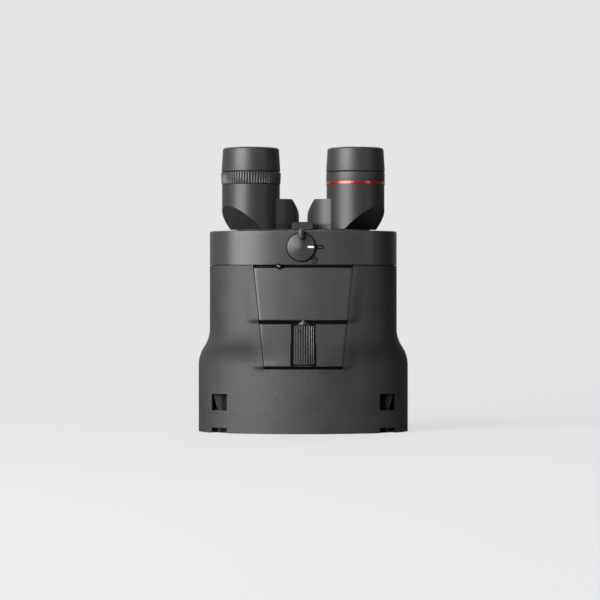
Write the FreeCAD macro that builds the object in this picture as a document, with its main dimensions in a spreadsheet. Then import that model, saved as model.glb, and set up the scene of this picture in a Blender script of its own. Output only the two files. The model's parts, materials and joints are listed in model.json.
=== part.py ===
import FreeCAD, Part
import math
import os
import re
import Sketcher

# Image-stabilised binoculars, standing on the objective end, eyepieces up.
# Millimetres. +Z runs along the optical axes towards the eyepieces, z = 0 is the
# objective end that the binoculars stand on, +X is the user's right, and -Y is the
# upper face in use, which carries the focus wheel and the power dial.
# The model is a parametric document: every driving dimension sits in the sheet "Sizes".

Vector = FreeCAD.Vector
Rotation = FreeCAD.Rotation

SIZES = [
    # body shell
    ("base_half_width", 64.8, "half width of the flared objective end"),
    ("waist_half_width", 57.8, "half width of the grip and head"),
    ("base_inset", 0.8, "how much less deep the objective end is than the grip, on each side"),
    ("waist_half_depth", 36.6, "half depth of the grip"),
    ("head_proud", 1.4, "how far the head stands out of the grip in depth"),
    ("base_squareness", 1.9, "outline exponent at the objective end, 2 is an ellipse"),
    ("waist_squareness", 2.8, "outline exponent at the grip and head"),
    ("flare_low", 41.5, "height where the flare ends below"),
    ("flare_high", 64.0, "height where the flare ends above"),
    ("head_low", 103.0, "height of the head cover's lower edge"),
    ("head_high", 123.8, "height of the head cover's top face"),
    ("armour_wall", 1.6, "thickness of the rubber armour"),
    ("housing_wall", 2.2, "wall of the housing and of the head cover"),
    ("frame_thick", 4.0, "thickness of the front frame at the objective end"),
    ("seam", 0.15, "open seam between fitted covers"),
    ("gap", 0.35, "air between parts that move past each other"),
    ("running_fit", 0.05, "radial clearance of a running fit"),
    # smooth panels let into the armour
    ("panel_half_top", 30.6, "half width of the panel at its top"),
    ("panel_half_low", 24.1, "half width of the panel at its foot"),
    ("panel_top", 100.9, "height of the upper panel's top edge"),
    ("panel_step", 69.2, "height of the upper panel's lower edge"),
    ("panel_low_top", 66.7, "height of the lower panel's top edge"),
    ("panel_foot", 39.2, "height of the lower panel's foot"),
    ("lip_height", 1.9, "height of the raised lip at the panel's foot"),
    ("lip_out", 0.3, "how far the lip stands out of the lower panel"),
    ("panel_proud", 1.6, "how far the upper panel's lower edge stands out of the grip"),
    ("panel_slope", 2.35, "slope of the upper panel in degrees"),
    ("panel_crown", 220.0, "crown radius of the upper panel"),
    ("lower_panel_proud", 0.3, "how far the lower panel stands out of the grip"),
    # focus wheel
    ("wheel_radius", 10.5, "focus wheel over its ribs"),
    ("wheel_inset", 8.85, "depth of the wheel's axis behind the grip's front"),
    ("wheel_low", 41.9, "height of the wheel's lower face"),
    ("wheel_high", 66.3, "height of the wheel's upper face"),
    ("wheel_groove", 0.5, "radius of the grooves between the wheel's ribs"),
    ("wheel_window_half", 7.5, "half width of the wheel's window"),
    ("screw_radius", 3.0, "focus lead screw"),
    ("screw_low", 8.5, "height of the lead screw's lower end"),
    ("pin_radius", 1.5, "pins and guide rods"),
    # objectives
    ("objective_axis_x", 30.75, "distance of an objective's axis from the centre line"),
    ("lens_radius", 21.4, "objective lens"),
    ("barrel_wall", 1.5, "wall of the objective barrel"),
    ("barrel_top", 40.0, "height of the barrel's rear end"),
    ("barrel_top_radius", 18.0, "barrel radius at its rear end"),
    ("recess_step", 0.6, "step from the lens out to the recess in front of it"),
    ("lens_low", 9.0, "height of the objective's front vertex"),
    ("lens_thick", 7.0, "thickness of the objective"),
    # lower strap lugs
    ("lug_inner_x", 46.7, "inner side of the lower strap window"),
    ("lug_outer_x", 56.1, "outer side of the lower strap window"),
    ("lug_low", 13.9, "lower edge of the strap window"),
    ("lug_high", 24.1, "upper edge of the strap window"),
    ("lug_notch", 3.3, "height of the notch at the foot"),
    ("lug_air", 1.4, "air between the barrel and the lug's pocket"),
    ("lug_wall", 1.5, "wall of the lug's pocket"),
    # bulkhead and focus carriage
    ("bulkhead_low", 68.2, "height of the bulkhead's lower face"),
    ("bulkhead_thick", 2.0, "thickness of the bulkhead"),
    ("carriage_low", 45.5, "height of the carriage bridge"),
    ("carriage_thick", 3.0, "thickness of the carriage bridge"),
    ("cell_radius", 15.0, "focusing lens cell"),
    ("cell_wall", 1.3, "wall of the focusing lens cell"),
    ("rod_front_y", 2.0, "place of the front guide rod"),
    ("rod_back_y", 11.0, "place of the back guide rod"),
    ("nut_wall", 1.0, "wall of the nut"),
    ("stem_half", 3.5, "half width of the carriage's stem"),
    ("nut_low", 25.0, "height of the nut's lower face"),
    ("nut_high", 33.0, "height of the nut's upper face"),
    # gimbal
    ("gimbal_z", 83.6, "height of the gimbal axes"),
    ("gimbal_half_x", 43.0, "half length of the outer gimbal ring"),
    ("gimbal_half_y", 24.0, "half depth of the outer gimbal ring"),
    ("gimbal_rim", 2.5, "wall of the outer gimbal ring"),
    ("gimbal_tall", 8.0, "height of the gimbal rings"),
    ("gimbal_air", 2.0, "air between the gimbal rings"),
    ("prism_half_y", 12.5, "half depth of an erecting prism"),
    ("prism_inner_x", 8.0, "inner side of an erecting prism"),
    ("prism_outer_x", 36.5, "outer side of an erecting prism"),
    ("prism_half_tall", 10.5, "half height of an erecting prism"),
    # turrets
    ("pivot_x", 20.35, "distance of a turret's pivot from the centre line"),
    ("turret_offset", 14.5, "offset of the eyepiece from the turret's pivot"),
    ("turret_angle", 35.0, "swing of the eyepiece off the X axis at rest, in degrees"),
    ("turret_radius", 17.8, "turret knuckle"),
    ("turret_low", 124.85, "height of the turret's underside"),
    ("turret_high", 143.6, "height of the turret's flat top"),
    ("turret_bevel", 148.0, "height where the knuckle's bevel plane meets the pivot axis"),
    ("neck_radius", 13.0, "turret neck in its bearing"),
    ("neck_low", 116.5, "height of the neck's lower end"),
    ("beam_radius", 10.5, "bore for the beam"),
    ("tube_radius", 17.83, "eyepiece tube"),
    ("tube_high", 152.4, "height of the eyepiece tube's upper end"),
    ("tube_bevel", 121.4, "height where the tube's bevel plane meets the eyepiece axis"),
    ("rhomb_side", 15.0, "aperture of the rhomboid prism"),
    ("rhomb_low", 127.2, "height of the rhomboid prism's entry face"),
    ("deck_top", 124.5, "height of the top deck"),
    ("deck_half_x", 40.5, "half width of the top deck"),
    ("deck_half_y", 31.0, "half depth of the top deck"),
    ("deck_corner", 13.0, "corner radius of the top deck"),
    ("head_edge", 1.0, "round of the head cover's top edge"),
    ("bearing_wall", 2.0, "wall of the turret's bearing ring"),
    ("gear_teeth", 40.0, "teeth of a whole turret gear"),
    ("gear_low", 117.2, "height of the gear's lower face"),
    ("gear_thick", 2.6, "thickness of the gear sector"),
    # eyepieces
    ("spigot_radius", 15.5, "outside of the eyepiece spigot"),
    ("spigot_bore", 14.0, "bore of the eyepiece spigot"),
    ("spigot_high", 168.0, "height of the spigot's end"),
    ("ring_high", 160.0, "height of the adjusting ring's upper face"),
    ("ring_radius", 18.45, "adjusting ring at its upper edge"),
    ("ring_foot_radius", 18.05, "adjusting ring at its foot"),
    ("ring_groove", 0.4, "radius of the grooves between the ring's ribs"),
    ("accent_high", 154.2, "height of the accent ring's upper face"),
    ("accent_radius", 18.15, "accent ring"),
    ("cup_low", 160.35, "height of the eyecup's lower edge"),
    ("cup_high", 175.3, "height of the eyecup's rim"),
    ("cup_radius_low", 18.1, "eyecup at its lower edge"),
    ("cup_radius_high", 17.3, "eyecup at its rim"),
    ("cup_round", 1.9, "round of the eyecup's rim"),
    ("cup_mouth", 14.6, "radius of the eyecup's mouth"),
    ("sleeve_radius", 16.85, "outside of the eyecup's cam sleeve"),
    ("sleeve_high", 170.4, "height of the cam sleeve's end"),
    ("ocular_radius", 12.5, "eye lens"),
    ("ocular_low", 146.5, "height of the ocular cell's lower end"),
    ("ocular_high", 166.0, "height of the ocular cell's upper end"),
    # power dial
    ("dial_x", -1.35, "place of the dial along X"),
    ("dial_z", 113.6, "height of the dial's axis"),
    ("dial_radius", 8.9, "power dial"),
    ("dial_air", 0.4, "air between the dial and the head"),
    ("dial_thick", 2.6, "thickness of the dial"),
    ("fin_width", 3.2, "width of the dial's lever fin"),
    ("fin_top", 11.0, "reach of the fin above the dial's axis"),
    ("fin_foot", 1.8, "reach of the fin below the dial's axis"),
    ("fin_out", 2.4, "how far the fin stands out of the dial"),
    ("shaft_radius", 3.0, "dial shaft"),
    # status light
    ("led_x", -15.0, "place of the status light along X"),
    ("led_z", 102.0, "height of the status light"),
    ("led_radius", 1.7, "bezel of the status light"),
    # upper strap slots
    ("slot_low", 108.2, "lower edge of the upper strap slot"),
    ("slot_high", 112.8, "upper edge of the upper strap slot"),
    ("slot_half", 7.5, "half length of the upper strap slot"),
    ("slot_wall", 1.4, "wall of the pocket round the upper strap slot"),
    ("slot_depth", 6.8, "depth of the upper strap slot"),
    ("bar_radius", 1.6, "strap bar"),
    ("bar_inset", 0.8, "how far the strap bar lies inside the head's side"),
    # deck block
    ("block_half", 6.9, "half width of the block on the deck"),
    ("block_front", 33.0, "front end of the block"),
    ("block_back", 14.0, "back end of the block"),
    ("block_high", 129.0, "height of the block's top"),
    ("block_bevel", 1.2, "bevel of the block's edges"),
    # battery bay, door and tripod bush at the back
    ("cell_x", 7.6, "place of each battery cell along X"),
    ("cell_inset", 11.5, "depth of the battery cells' axes behind the objective end's back"),
    ("battery_radius", 7.2, "battery cell"),
    ("battery_low", 7.5, "height of the battery cells' lower end"),
    ("battery_length", 50.5, "length of a battery cell"),
    ("tray_wall", 1.2, "wall of the battery tray"),
    ("door_half", 16.8, "half width of the battery door"),
    ("door_low", 6.0, "height of the door's lower edge"),
    ("door_high", 59.2, "height of the door's upper edge"),
    ("hinge_z", 61.6, "height of the door's hinge pin"),
    ("hinge_out", 0.2, "how far the hinge pin's axis stands out of the objective end"),
    ("hinge_radius", 1.9, "hinge barrel"),
    ("hinge_pin", 0.9, "hinge pin"),
    ("latch_half", 5.0, "half width of the latch button"),
    ("latch_low", 9.0, "height of the latch button's lower edge"),
    ("latch_tall", 6.0, "height of the latch button"),
    ("latch_travel", 3.0, "travel of the latch"),
    ("bush_z", 80.0, "height of the tripod bush"),
    ("bush_radius", 7.0, "outside of the tripod bush"),
    ("bush_bore", 3.0, "bore of the quarter-inch tripod thread"),
    ("bush_depth", 8.0, "depth of the tripod thread"),
    ("case_screw", 1.1, "shank of the case screws"),
    ("screw_head", 1.9, "head of the case screws"),
    ("screw_head_tall", 1.0, "height of the screw heads"),
    ("screw_sunk", 0.4, "depth of the screw heads below the foot"),
    ("screw_length", 2.8, "length of the case screws"),
]

# Sizes that follow from others: each is the sum of the sizes it names.
FITS = {
    "base_half_depth": ("waist_half_depth", "-base_inset"),
    "head_half_depth": ("waist_half_depth", "head_proud"),
    "panel_depth": ("waist_half_depth", "panel_proud"),
    "lower_panel_depth": ("waist_half_depth", "lower_panel_proud"),
    "wheel_axis_y": ("waist_half_depth", "-wheel_inset"),
    "dial_foot": ("head_half_depth", "dial_air"),
    "hinge_y": ("base_half_depth", "hinge_out"),
    "cell_y": ("base_half_depth", "-cell_inset"),
    "objective_recess": ("lens_radius", "recess_step"),
    "lug_sleeve": ("lens_radius", "barrel_wall", "lug_air"),
}

doc = FreeCAD.newDocument("Binoculars")
sheet = doc.addObject("Spreadsheet::Sheet", "Sizes")
for row, (alias, value, meaning) in enumerate(SIZES, start=1):
    sheet.set("A%d" % row, alias)
    sheet.set("B%d" % row, repr(value))
    sheet.set("C%d" % row, meaning)
    sheet.setAlias("B%d" % row, alias)
doc.recompute()

ALIASES = sorted([alias for alias, value, meaning in SIZES] + list(FITS), key=len, reverse=True)
ALIAS_WORD = re.compile(r"\b(" + "|".join(ALIASES) + r")\b")

NODES = []
LEFT = -1
RIGHT = 1
SIDES = ((LEFT, "l"), (RIGHT, "r"))


def size(alias):
    """A size as a number: a cell of the sheet, or the sum that the size stands for."""
    if alias in FITS:
        return sum(size(part) for part in FITS[alias])
    if alias.startswith("-"):
        return -size(alias[1:])
    return float(getattr(sheet, alias))


def sheet_cell(found):
    """The sheet's cell for a size that a text names, or the sum that it stands for."""
    alias = found.group(1)
    if alias in FITS:
        return "(%s)" % ref(" + ".join(FITS[alias]))
    return "Sizes." + alias


def ref(text):
    """Point each size named in an expression at the sheet."""
    return ALIAS_WORD.sub(sheet_cell, str(text))


def bind(item, **sizes):
    """Bind properties of a document object to expressions of the sheet."""
    for name, text in sizes.items():
        item.setExpression(name, ref(text))
    return item


def place(item, at=("0", "0", "0"), turn=None):
    """Place an object: its turn is fixed, its position is bound to the sheet."""
    if turn is not None:
        item.Placement = FreeCAD.Placement(Vector(), turn)
    for axis, text in zip("xyz", at):
        item.setExpression("Placement.Base." + axis, ref(text))
    return item


def node(item, label):
    """Name an object as one piece of the assembly."""
    item.Label = label
    NODES.append(item)
    return item


ALONG_X = Rotation(Vector(0, 1, 0), 90)
ALONG_Y = Rotation(Vector(1, 0, 0), -90)


def cylinder(name, radius, height, at=("0", "0", "0"), turn=None):
    item = doc.addObject("Part::Cylinder", name)
    bind(item, Radius=radius, Height=height)
    return place(item, at, turn)


def cone(name, radius, radius_end, height, at=("0", "0", "0"), turn=None):
    item = doc.addObject("Part::Cone", name)
    bind(item, Radius1=radius, Radius2=radius_end, Height=height)
    return place(item, at, turn)


def box(name, low, high):
    """A box between two corners, given as expressions."""
    item = doc.addObject("Part::Box", name)
    sides = ["(%s) - (%s)" % (end, start) for start, end in zip(low, high)]
    bind(item, Length=sides[0], Width=sides[1], Height=sides[2])
    return place(item, low)


def fuse(name, pieces):
    item = doc.addObject("Part::MultiFuse", name)
    item.Shapes = pieces
    return item


def cut(name, base, tools):
    tool = tools[0]
    if len(tools) > 1:
        tool = fuse(name + "_tools", tools)
    item = doc.addObject("Part::Cut", name)
    item.Base = base
    item.Tool = tool
    return item


def common(name, first, second):
    item = doc.addObject("Part::MultiCommon", name)
    item.Shapes = [first, second]
    return item


def tube(name, radius, bore, low, high, at=("0", "0")):
    """A plain tube along Z between two heights."""
    outer = cylinder(name + "_outer", radius, "(%s) - (%s)" % (high, low), (at[0], at[1], low))
    inner = cylinder(name + "_bore", bore, "(%s) - (%s) + 2" % (high, low),
                     (at[0], at[1], "(%s) - 1" % low))
    return cut(name, outer, [inner])


def sketch(body, name, plane, points):
    """A closed polygon sketch whose corners are bound to the sheet."""
    item = body.newObject("Sketcher::SketchObject", name)
    support = [feature for feature in body.Origin.OriginFeatures if feature.Role == plane][0]
    item.AttachmentSupport = [(support, "")]
    item.MapMode = "FlatFace"
    values = [[float(item.evalExpression(ref(text))) for text in point] for point in points]
    count = len(points)
    for index in range(count):
        item.addGeometry(Part.LineSegment(Vector(values[index][0], values[index][1], 0),
                                          Vector(values[(index + 1) % count][0],
                                                 values[(index + 1) % count][1], 0)))
    for index in range(count):
        item.addConstraint(Sketcher.Constraint("Coincident", index, 2, (index + 1) % count, 1))
    for index in range(count):
        for kind, text, value in (("DistanceX", points[index][0], values[index][0]),
                                  ("DistanceY", points[index][1], values[index][1])):
            number = item.addConstraint(Sketcher.Constraint(kind, -1, 1, index, 1, value))
            item.setExpression("Constraints[%d]" % number, ref(text))
    return item


def turned(name, points):
    """A body of revolution about Z, from a profile of (radius, height) corners."""
    body = doc.addObject("PartDesign::Body", name)
    profile = sketch(body, name + "_profile", "XZ_Plane", points)
    turn = body.newObject("PartDesign::Revolution", name + "_turn")
    turn.Profile = profile
    turn.ReferenceAxis = (profile, ["V_Axis"])
    turn.Angle = 360
    profile.Visibility = False
    return body


def slab(name, points, width):
    """A polygon in the XZ plane, padded evenly to both sides of it."""
    body = doc.addObject("PartDesign::Body", name)
    profile = sketch(body, name + "_profile", "XZ_Plane", points)
    pad = body.newObject("PartDesign::Pad", name + "_pad")
    pad.Profile = profile
    pad.SideType = "Symmetric"
    bind(pad, Length=width)
    return body


# The body's outline ----------------------------------------------------------------------------

OUTLINE_POINTS = 64
FLARE_STATIONS = 9


def flare(height):
    """0 at the objective end and 1 at the waist: two tangent arcs make the S-curve."""
    low = size("flare_low")
    high = size("flare_high")
    if height <= low:
        return 0.0
    if height >= high:
        return 1.0
    rise = high - low
    step = abs(size("base_half_width") - size("waist_half_width"))
    if step == 0:
        return (height - low) / rise
    turn = 2 * math.atan2(step, rise)
    radius = rise / (2 * math.sin(turn))
    middle = (low + high) / 2
    if height < middle:
        drop = radius - math.sqrt(radius ** 2 - (height - low) ** 2)
        return drop / step
    drop = radius - math.sqrt(radius ** 2 - (high - height) ** 2)
    return 1 - drop / step


def blend(alias_base, alias_waist, share):
    return size(alias_base) + (size(alias_waist) - size(alias_base)) * share


def outline(half_width, half_depth, squareness, inset, height):
    """A closed wire: a superellipse moved inwards by the inset, at one height."""
    points = []
    for step in range(OUTLINE_POINTS):
        angle = 2 * math.pi * step / OUTLINE_POINTS
        cosine = math.cos(angle)
        sine = math.sin(angle)
        reach = (abs(cosine) ** squareness + abs(sine) ** squareness) ** (-1 / squareness)
        east = reach * cosine
        north = reach * sine
        slope_x = math.copysign(abs(east) ** (squareness - 1), cosine) / half_width
        slope_y = math.copysign(abs(north) ** (squareness - 1), sine) / half_depth
        length = math.hypot(slope_x, slope_y)
        points.append(Vector(half_width * east - inset * slope_x / length,
                             half_depth * north - inset * slope_y / length, height))
    curve = Part.BSplineCurve()
    curve.interpolate(points, PeriodicFlag=True)
    return Part.Wire([curve.toShape()])


def body_outline(inset, height):
    share = flare(height)
    return outline(blend("base_half_width", "waist_half_width", share),
                   blend("base_half_depth", "waist_half_depth", share),
                   blend("base_squareness", "waist_squareness", share), inset, height)


def body_solid(inset, low, high):
    """The body's outer shape, inset, between two heights."""
    flare_low = size("flare_low")
    flare_high = size("flare_high")
    parts = []
    if low < flare_low:
        foot = Part.Face(body_outline(inset, low))
        parts.append(foot.extrude(Vector(0, 0, min(high, flare_low) - low)))
    if low < flare_high and high > flare_low:
        rise = flare_high - flare_low
        heights = [flare_low + rise * step / (FLARE_STATIONS - 1) for step in range(FLARE_STATIONS)]
        parts.append(Part.makeLoft([body_outline(inset, height) for height in heights], True, False))
    if high > flare_high:
        start = max(low, flare_high)
        waist = Part.Face(body_outline(inset, start))
        parts.append(waist.extrude(Vector(0, 0, high - start)))
    whole = parts[0]
    for part in parts[1:]:
        whole = whole.fuse(part)
    return whole


def head_solid(inset, low, high):
    ring = outline(size("waist_half_width"), size("head_half_depth"),
                   size("waist_squareness"), inset, low)
    return Part.Face(ring).extrude(Vector(0, 0, high - low))


def feature(name, shape):
    """A free-form piece, whose shape is worked out from the sheet by the code above."""
    item = doc.addObject("Part::Feature", name)
    item.Shape = shape
    return item


def trapezoid(low, high, margin, front, back):
    """The panel's tapering outline as a prism through the front wall."""
    span = size("head_low") - size("panel_foot")
    lean = (size("panel_half_top") - size("panel_half_low")) / span

    def half(height):
        return size("panel_half_low") + lean * (height - size("panel_foot")) - margin

    corners = [Vector(-half(low), front, low), Vector(half(low), front, low),
               Vector(half(high), front, high), Vector(-half(high), front, high)]
    return Part.Face(Part.makePolygon(corners + corners[:1])).extrude(Vector(0, back - front, 0))


# Strap lugs at the objective end ---------------------------------------------------------------

def lug_cutters(side):
    """Window, inner channel and foot notch of one lower strap lug."""
    start = min(side * size("lug_inner_x"), side * size("lug_outer_x"))
    width = size("lug_outer_x") - size("lug_inner_x")
    front = -size("base_half_depth") - 10
    depth = -front - 10

    def block(low, high):
        return Part.makeBox(width, depth, high - low, Vector(start, front, low))

    skin = size("armour_wall") + size("housing_wall")
    channel = block(-1, size("lug_high")).common(body_solid(skin, -1, size("lug_high")))
    opening = block(size("lug_low"), size("lug_high")).fuse(block(-1, size("lug_notch")))
    sleeve = Part.makeCylinder(size("lug_sleeve"), size("lug_high") + 2,
                               Vector(side * size("objective_axis_x"), 0, -1))
    return opening.fuse(channel).cut(sleeve)


def lug_walls(side, low, high):
    """The closed pocket round a strap channel, inside the housing."""
    wall = size("lug_wall")
    inner = size("lug_inner_x") - wall
    outer = size("lug_outer_x") + wall
    start = min(side * inner, side * outer)
    front = -size("base_half_depth")
    pocket = Part.makeBox(outer - inner, -front - 10 + wall, high - low, Vector(start, front, low))
    barrel = Part.makeCylinder(size("lug_sleeve") - wall + size("seam"), high + 2,
                               Vector(side * size("objective_axis_x"), 0, -1))
    return pocket.common(body_solid(size("armour_wall"), low, high)).cut(barrel)


lugs = lug_cutters(LEFT).fuse(lug_cutters(RIGHT))
skin_wall = size("armour_wall") + size("housing_wall")
wheel_space = Part.makeCylinder(size("wheel_radius") + 0.9,
                                size("wheel_high") - size("wheel_low") + 2 * size("gap"),
                                Vector(0, -size("wheel_axis_y"), size("wheel_low") - size("gap")))
wheel_window = Part.makeBox(2 * size("wheel_window_half"), size("base_half_depth"),
                            size("wheel_high") - size("wheel_low") + 2 * size("gap"),
                            Vector(-size("wheel_window_half"), -2 * size("base_half_depth") + 5,
                                   size("wheel_low") - size("gap")))
led_hole = Part.makeCylinder(size("led_radius"), 20,
                             Vector(size("led_x"), -30, size("led_z")), Vector(0, -1, 0))
bush_hole = Part.makeCylinder(size("bush_radius"), 20,
                              Vector(0, 25, size("bush_z")), Vector(0, 1, 0))
door_hole = Part.makeBox(2 * (size("door_half") + size("gap")), 30,
                         size("hinge_z") + size("hinge_radius") + 2 * size("gap") - size("door_low"),
                         Vector(-size("door_half") - size("gap"), 20, size("door_low") - size("gap")))

# Housing: a shell open at both ends, with the lug pockets and the door's hinge ears.
housing = body_solid(size("armour_wall"), size("frame_thick"), size("head_low"))
housing = housing.cut(body_solid(skin_wall, size("frame_thick") - 1, size("head_low") + 1))
for side, letter in SIDES:
    housing = housing.fuse(lug_walls(side, size("frame_thick"), size("lug_high") + size("lug_wall")))
housing = housing.cut(lugs).cut(door_hole).cut(bush_hole).cut(led_hole).cut(wheel_window)
housing = housing.cut(wheel_space)
ear_low = size("hinge_z") - size("hinge_radius")
for side, letter in SIDES:
    ear_in = 0.7 * size("door_half")
    ear_start = min(side * ear_in, side * (size("door_half") + 1.5))
    ear_length = size("door_half") + 1.5 - ear_in
    ear = Part.makeCylinder(size("hinge_radius"), ear_length,
                            Vector(ear_start, size("hinge_y"), size("hinge_z")), Vector(1, 0, 0))
    web = Part.makeBox(ear_length, 2.4, 2 * size("hinge_radius") + 2 * size("gap") + 1,
                       Vector(ear_start, size("hinge_y") - 3.0, size("hinge_z")))
    housing = housing.fuse(ear).fuse(web)
pin_hole = Part.makeCylinder(size("hinge_pin"), 4 * size("door_half"),
                             Vector(-2 * size("door_half"), size("hinge_y"), size("hinge_z")),
                             Vector(1, 0, 0))
housing = housing.cut(pin_hole)
node(feature("main_housing", housing), "main_housing")

# Rubber armour round the housing, open at the front panels, door and tripod bush.
armour_top = size("head_low") - size("seam")
armour = body_solid(0, size("seam") * 2, armour_top)
armour = armour.cut(body_solid(size("armour_wall"), -1, size("head_low") + 1))
armour = armour.cut(trapezoid(size("panel_foot"), size("head_low"), 0, -60, 0))
ear_space = Part.makeBox(2 * (size("door_half") + 1.6), 30, size("hinge_radius") * 2 + 4,
                         Vector(-size("door_half") - 1.6, 20, ear_low - size("gap")))
armour = armour.cut(lugs).cut(door_hole).cut(bush_hole).cut(ear_space)
node(feature("rubber_armour", armour), "rubber_armour")

# Smooth panels let into the front.
core = body_solid(size("armour_wall"), size("panel_foot") - 1, size("head_low"))
crown = Part.makeCylinder(size("panel_crown"), 120,
                          Vector(0, size("panel_crown") - size("panel_depth"), 0))
crown.rotate(Vector(0, -size("panel_depth"), size("panel_step")), Vector(1, 0, 0),
             -size("panel_slope"))
upper = trapezoid(size("panel_step"), size("panel_top"), size("seam"), -60, -20)
upper = upper.common(crown).cut(core).cut(led_hole)
node(feature("upper_panel", upper), "upper_panel")

low_crown = Part.makeCylinder(2 * size("panel_crown"), 60,
                              Vector(0, 2 * size("panel_crown") - size("lower_panel_depth"), 30))
lip_crown = Part.makeCylinder(2 * size("panel_crown"), size("lip_height"),
                              Vector(0, 2 * size("panel_crown") - size("lower_panel_depth")
                                     - size("lip_out"), size("panel_foot") + size("seam")))
lower = trapezoid(size("panel_foot") + size("seam"), size("panel_low_top"), size("seam"), -60, -20)
lower = lower.common(low_crown.fuse(lip_crown)).cut(core).cut(wheel_window).cut(wheel_space)
node(feature("lower_panel", lower), "lower_panel")



def frame_screw_places():
    """Four screws that hold the front frame, two before and two behind the objectives."""
    reach = size("base_half_depth") - skin_wall - size("screw_head")
    return [(x, y * reach) for x, y in ((-12.0, -1), (12.0, -1), (-5.0, 1), (5.0, 1))]


# Front frame: the plate that the binoculars stand on, with both objective recesses.
frame = body_solid(size("armour_wall"), 0, size("frame_thick")).cut(lugs)
for side, letter in SIDES:
    frame = frame.cut(Part.makeCylinder(size("objective_recess"), 20,
                                        Vector(side * size("objective_axis_x"), 0, -5)))
screw_boss = Part.makeCylinder(size("screw_radius") + size("nut_wall"), 10,
                               Vector(0, -size("wheel_axis_y"), size("frame_thick")))
frame = frame.fuse(screw_boss)
frame = frame.cut(Part.makeCylinder(size("screw_radius") + size("running_fit"), 10,
                                    Vector(0, -size("wheel_axis_y"), size("screw_low") - 0.3)))
for rod_y in (size("rod_front_y"), size("rod_back_y")):
    frame = frame.cut(Part.makeCylinder(size("pin_radius"), 10, Vector(0, rod_y, 2)))
for x, y in frame_screw_places():
    frame = frame.cut(Part.makeCylinder(size("screw_head"), 3,
                                        Vector(x, y, size("screw_sunk") + size("screw_head_tall") - 3)))
    frame = frame.cut(Part.makeCylinder(size("case_screw"), size("screw_length"),
                                        Vector(x, y, size("screw_sunk"))))
node(feature("front_frame", frame), "front_frame")

# Objectives ------------------------------------------------------------------------------------
for side, letter in SIDES:
    axis_x = "%d * objective_axis_x" % side
    barrel = turned("objective_barrel_" + letter, [
        ("lens_radius", "frame_thick"),
        ("lens_radius + barrel_wall", "frame_thick"),
        ("lens_radius + barrel_wall", "lens_low + lens_thick + 2"),
        ("barrel_top_radius", "barrel_top"),
        ("barrel_top_radius - barrel_wall", "barrel_top"),
        ("lens_radius - barrel_wall", "lens_low + lens_thick"),
        ("lens_radius", "lens_low + lens_thick")])
    node(place(barrel, (axis_x, "0", "0")), "objective_barrel_" + letter)
    blank = cylinder("objective_blank_" + letter, "lens_radius", "lens_thick",
                     (axis_x, "0", "lens_low"))
    ball = doc.addObject("Part::Sphere", "objective_ball_" + letter)
    bind(ball, Radius="lens_radius * 3.4")
    place(ball, (axis_x, "0", "lens_low + lens_radius * 3.4"))
    node(common("objective_lens_" + letter, blank, ball), "objective_lens_" + letter)
    ring = tube("objective_ring_" + letter, "lens_radius", "lens_radius - 1.2",
                "lens_low - 1.6", "lens_low + 1.2", (axis_x, "0"))
    ring_edge = cone("objective_ring_bevel_" + letter, "lens_radius - 0.4", "lens_radius - 1.2",
                     "1.2", (axis_x, "0", "lens_low - 1.6"))
    spare = doc.addObject("Part::Sphere", "objective_seat_" + letter)
    bind(spare, Radius="lens_radius * 3.4")
    place(spare, (axis_x, "0", "lens_low + lens_radius * 3.4"))
    node(cut("retaining_ring_" + letter, ring, [ring_edge, spare]), "retaining_ring_" + letter)

# Head cover with bearing holes, strap slots and the dial's shaft hole ----------------
head = head_solid(0, size("head_low"), size("head_high"))
top_edges = [edge for edge in head.Edges if edge.BoundBox.ZMin > size("head_high") - 0.1]
head = head.makeFillet(size("head_edge"), top_edges)
head = head.cut(head_solid(size("housing_wall"), size("head_low") - 1,
                           size("head_high") - size("housing_wall")))
bearing_hole = size("neck_radius") + size("bearing_wall")
slot_tall = size("slot_high") - size("slot_low")
for side, letter in SIDES:
    head = head.cut(Part.makeCylinder(bearing_hole, 20, Vector(side * size("pivot_x"), 0, 115)))
    slot_in = size("waist_half_width") - size("slot_depth")
    back = Part.makeBox(size("slot_depth") + size("slot_wall"), 2 * (size("slot_half") + size("slot_wall")),
                        slot_tall + 2 * size("slot_wall"),
                        Vector(min(side * (slot_in - size("slot_wall")), side * size("waist_half_width")),
                               -size("slot_half") - size("slot_wall"), size("slot_low") - size("slot_wall")))
    back = back.common(head_solid(0, size("head_low"), size("head_high")))
    slot = Part.makeBox(size("slot_depth") + 5, 2 * size("slot_half"), slot_tall,
                        Vector(min(side * slot_in, side * (size("waist_half_width") + 5)),
                               -size("slot_half"), size("slot_low")))
    head = head.fuse(back).cut(slot)
shaft_hole = Part.makeCylinder(size("shaft_radius") + size("running_fit"), 20,
                               Vector(size("dial_x"), 13 - size("head_half_depth"), size("dial_z")),
                               Vector(0, -1, 0))
node(feature("head_cover", head.cut(shaft_hole).cut(led_hole)), "head_cover")

deck = Part.makeBox(2 * size("deck_half_x"), 2 * size("deck_half_y"),
                    size("deck_top") - size("head_high"),
                    Vector(-size("deck_half_x"), -size("deck_half_y"), size("head_high")))
deck = deck.makeFillet(size("deck_corner"), [edge for edge in deck.Edges
                                             if edge.BoundBox.ZLength > size("seam")])
for side, letter in SIDES:
    deck = deck.cut(Part.makeCylinder(bearing_hole, 20, Vector(side * size("pivot_x"), 0, 115)))
node(feature("top_deck", deck), "top_deck")

block = box("deck_block_blank", ("-block_half", "-block_front", "deck_top"),
            ("block_half", "-block_back", "block_high"))
bevel = doc.addObject("Part::Chamfer", "deck_block")
bevel.Base = block
doc.recompute()
bevel.Edges = [(number, size("block_bevel"), size("block_bevel"))
               for number, edge in enumerate(block.Shape.Edges, start=1)
               if edge.BoundBox.ZMin > size("deck_top") + 1 or edge.BoundBox.ZLength > 1]
node(bevel, "deck_block")

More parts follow.
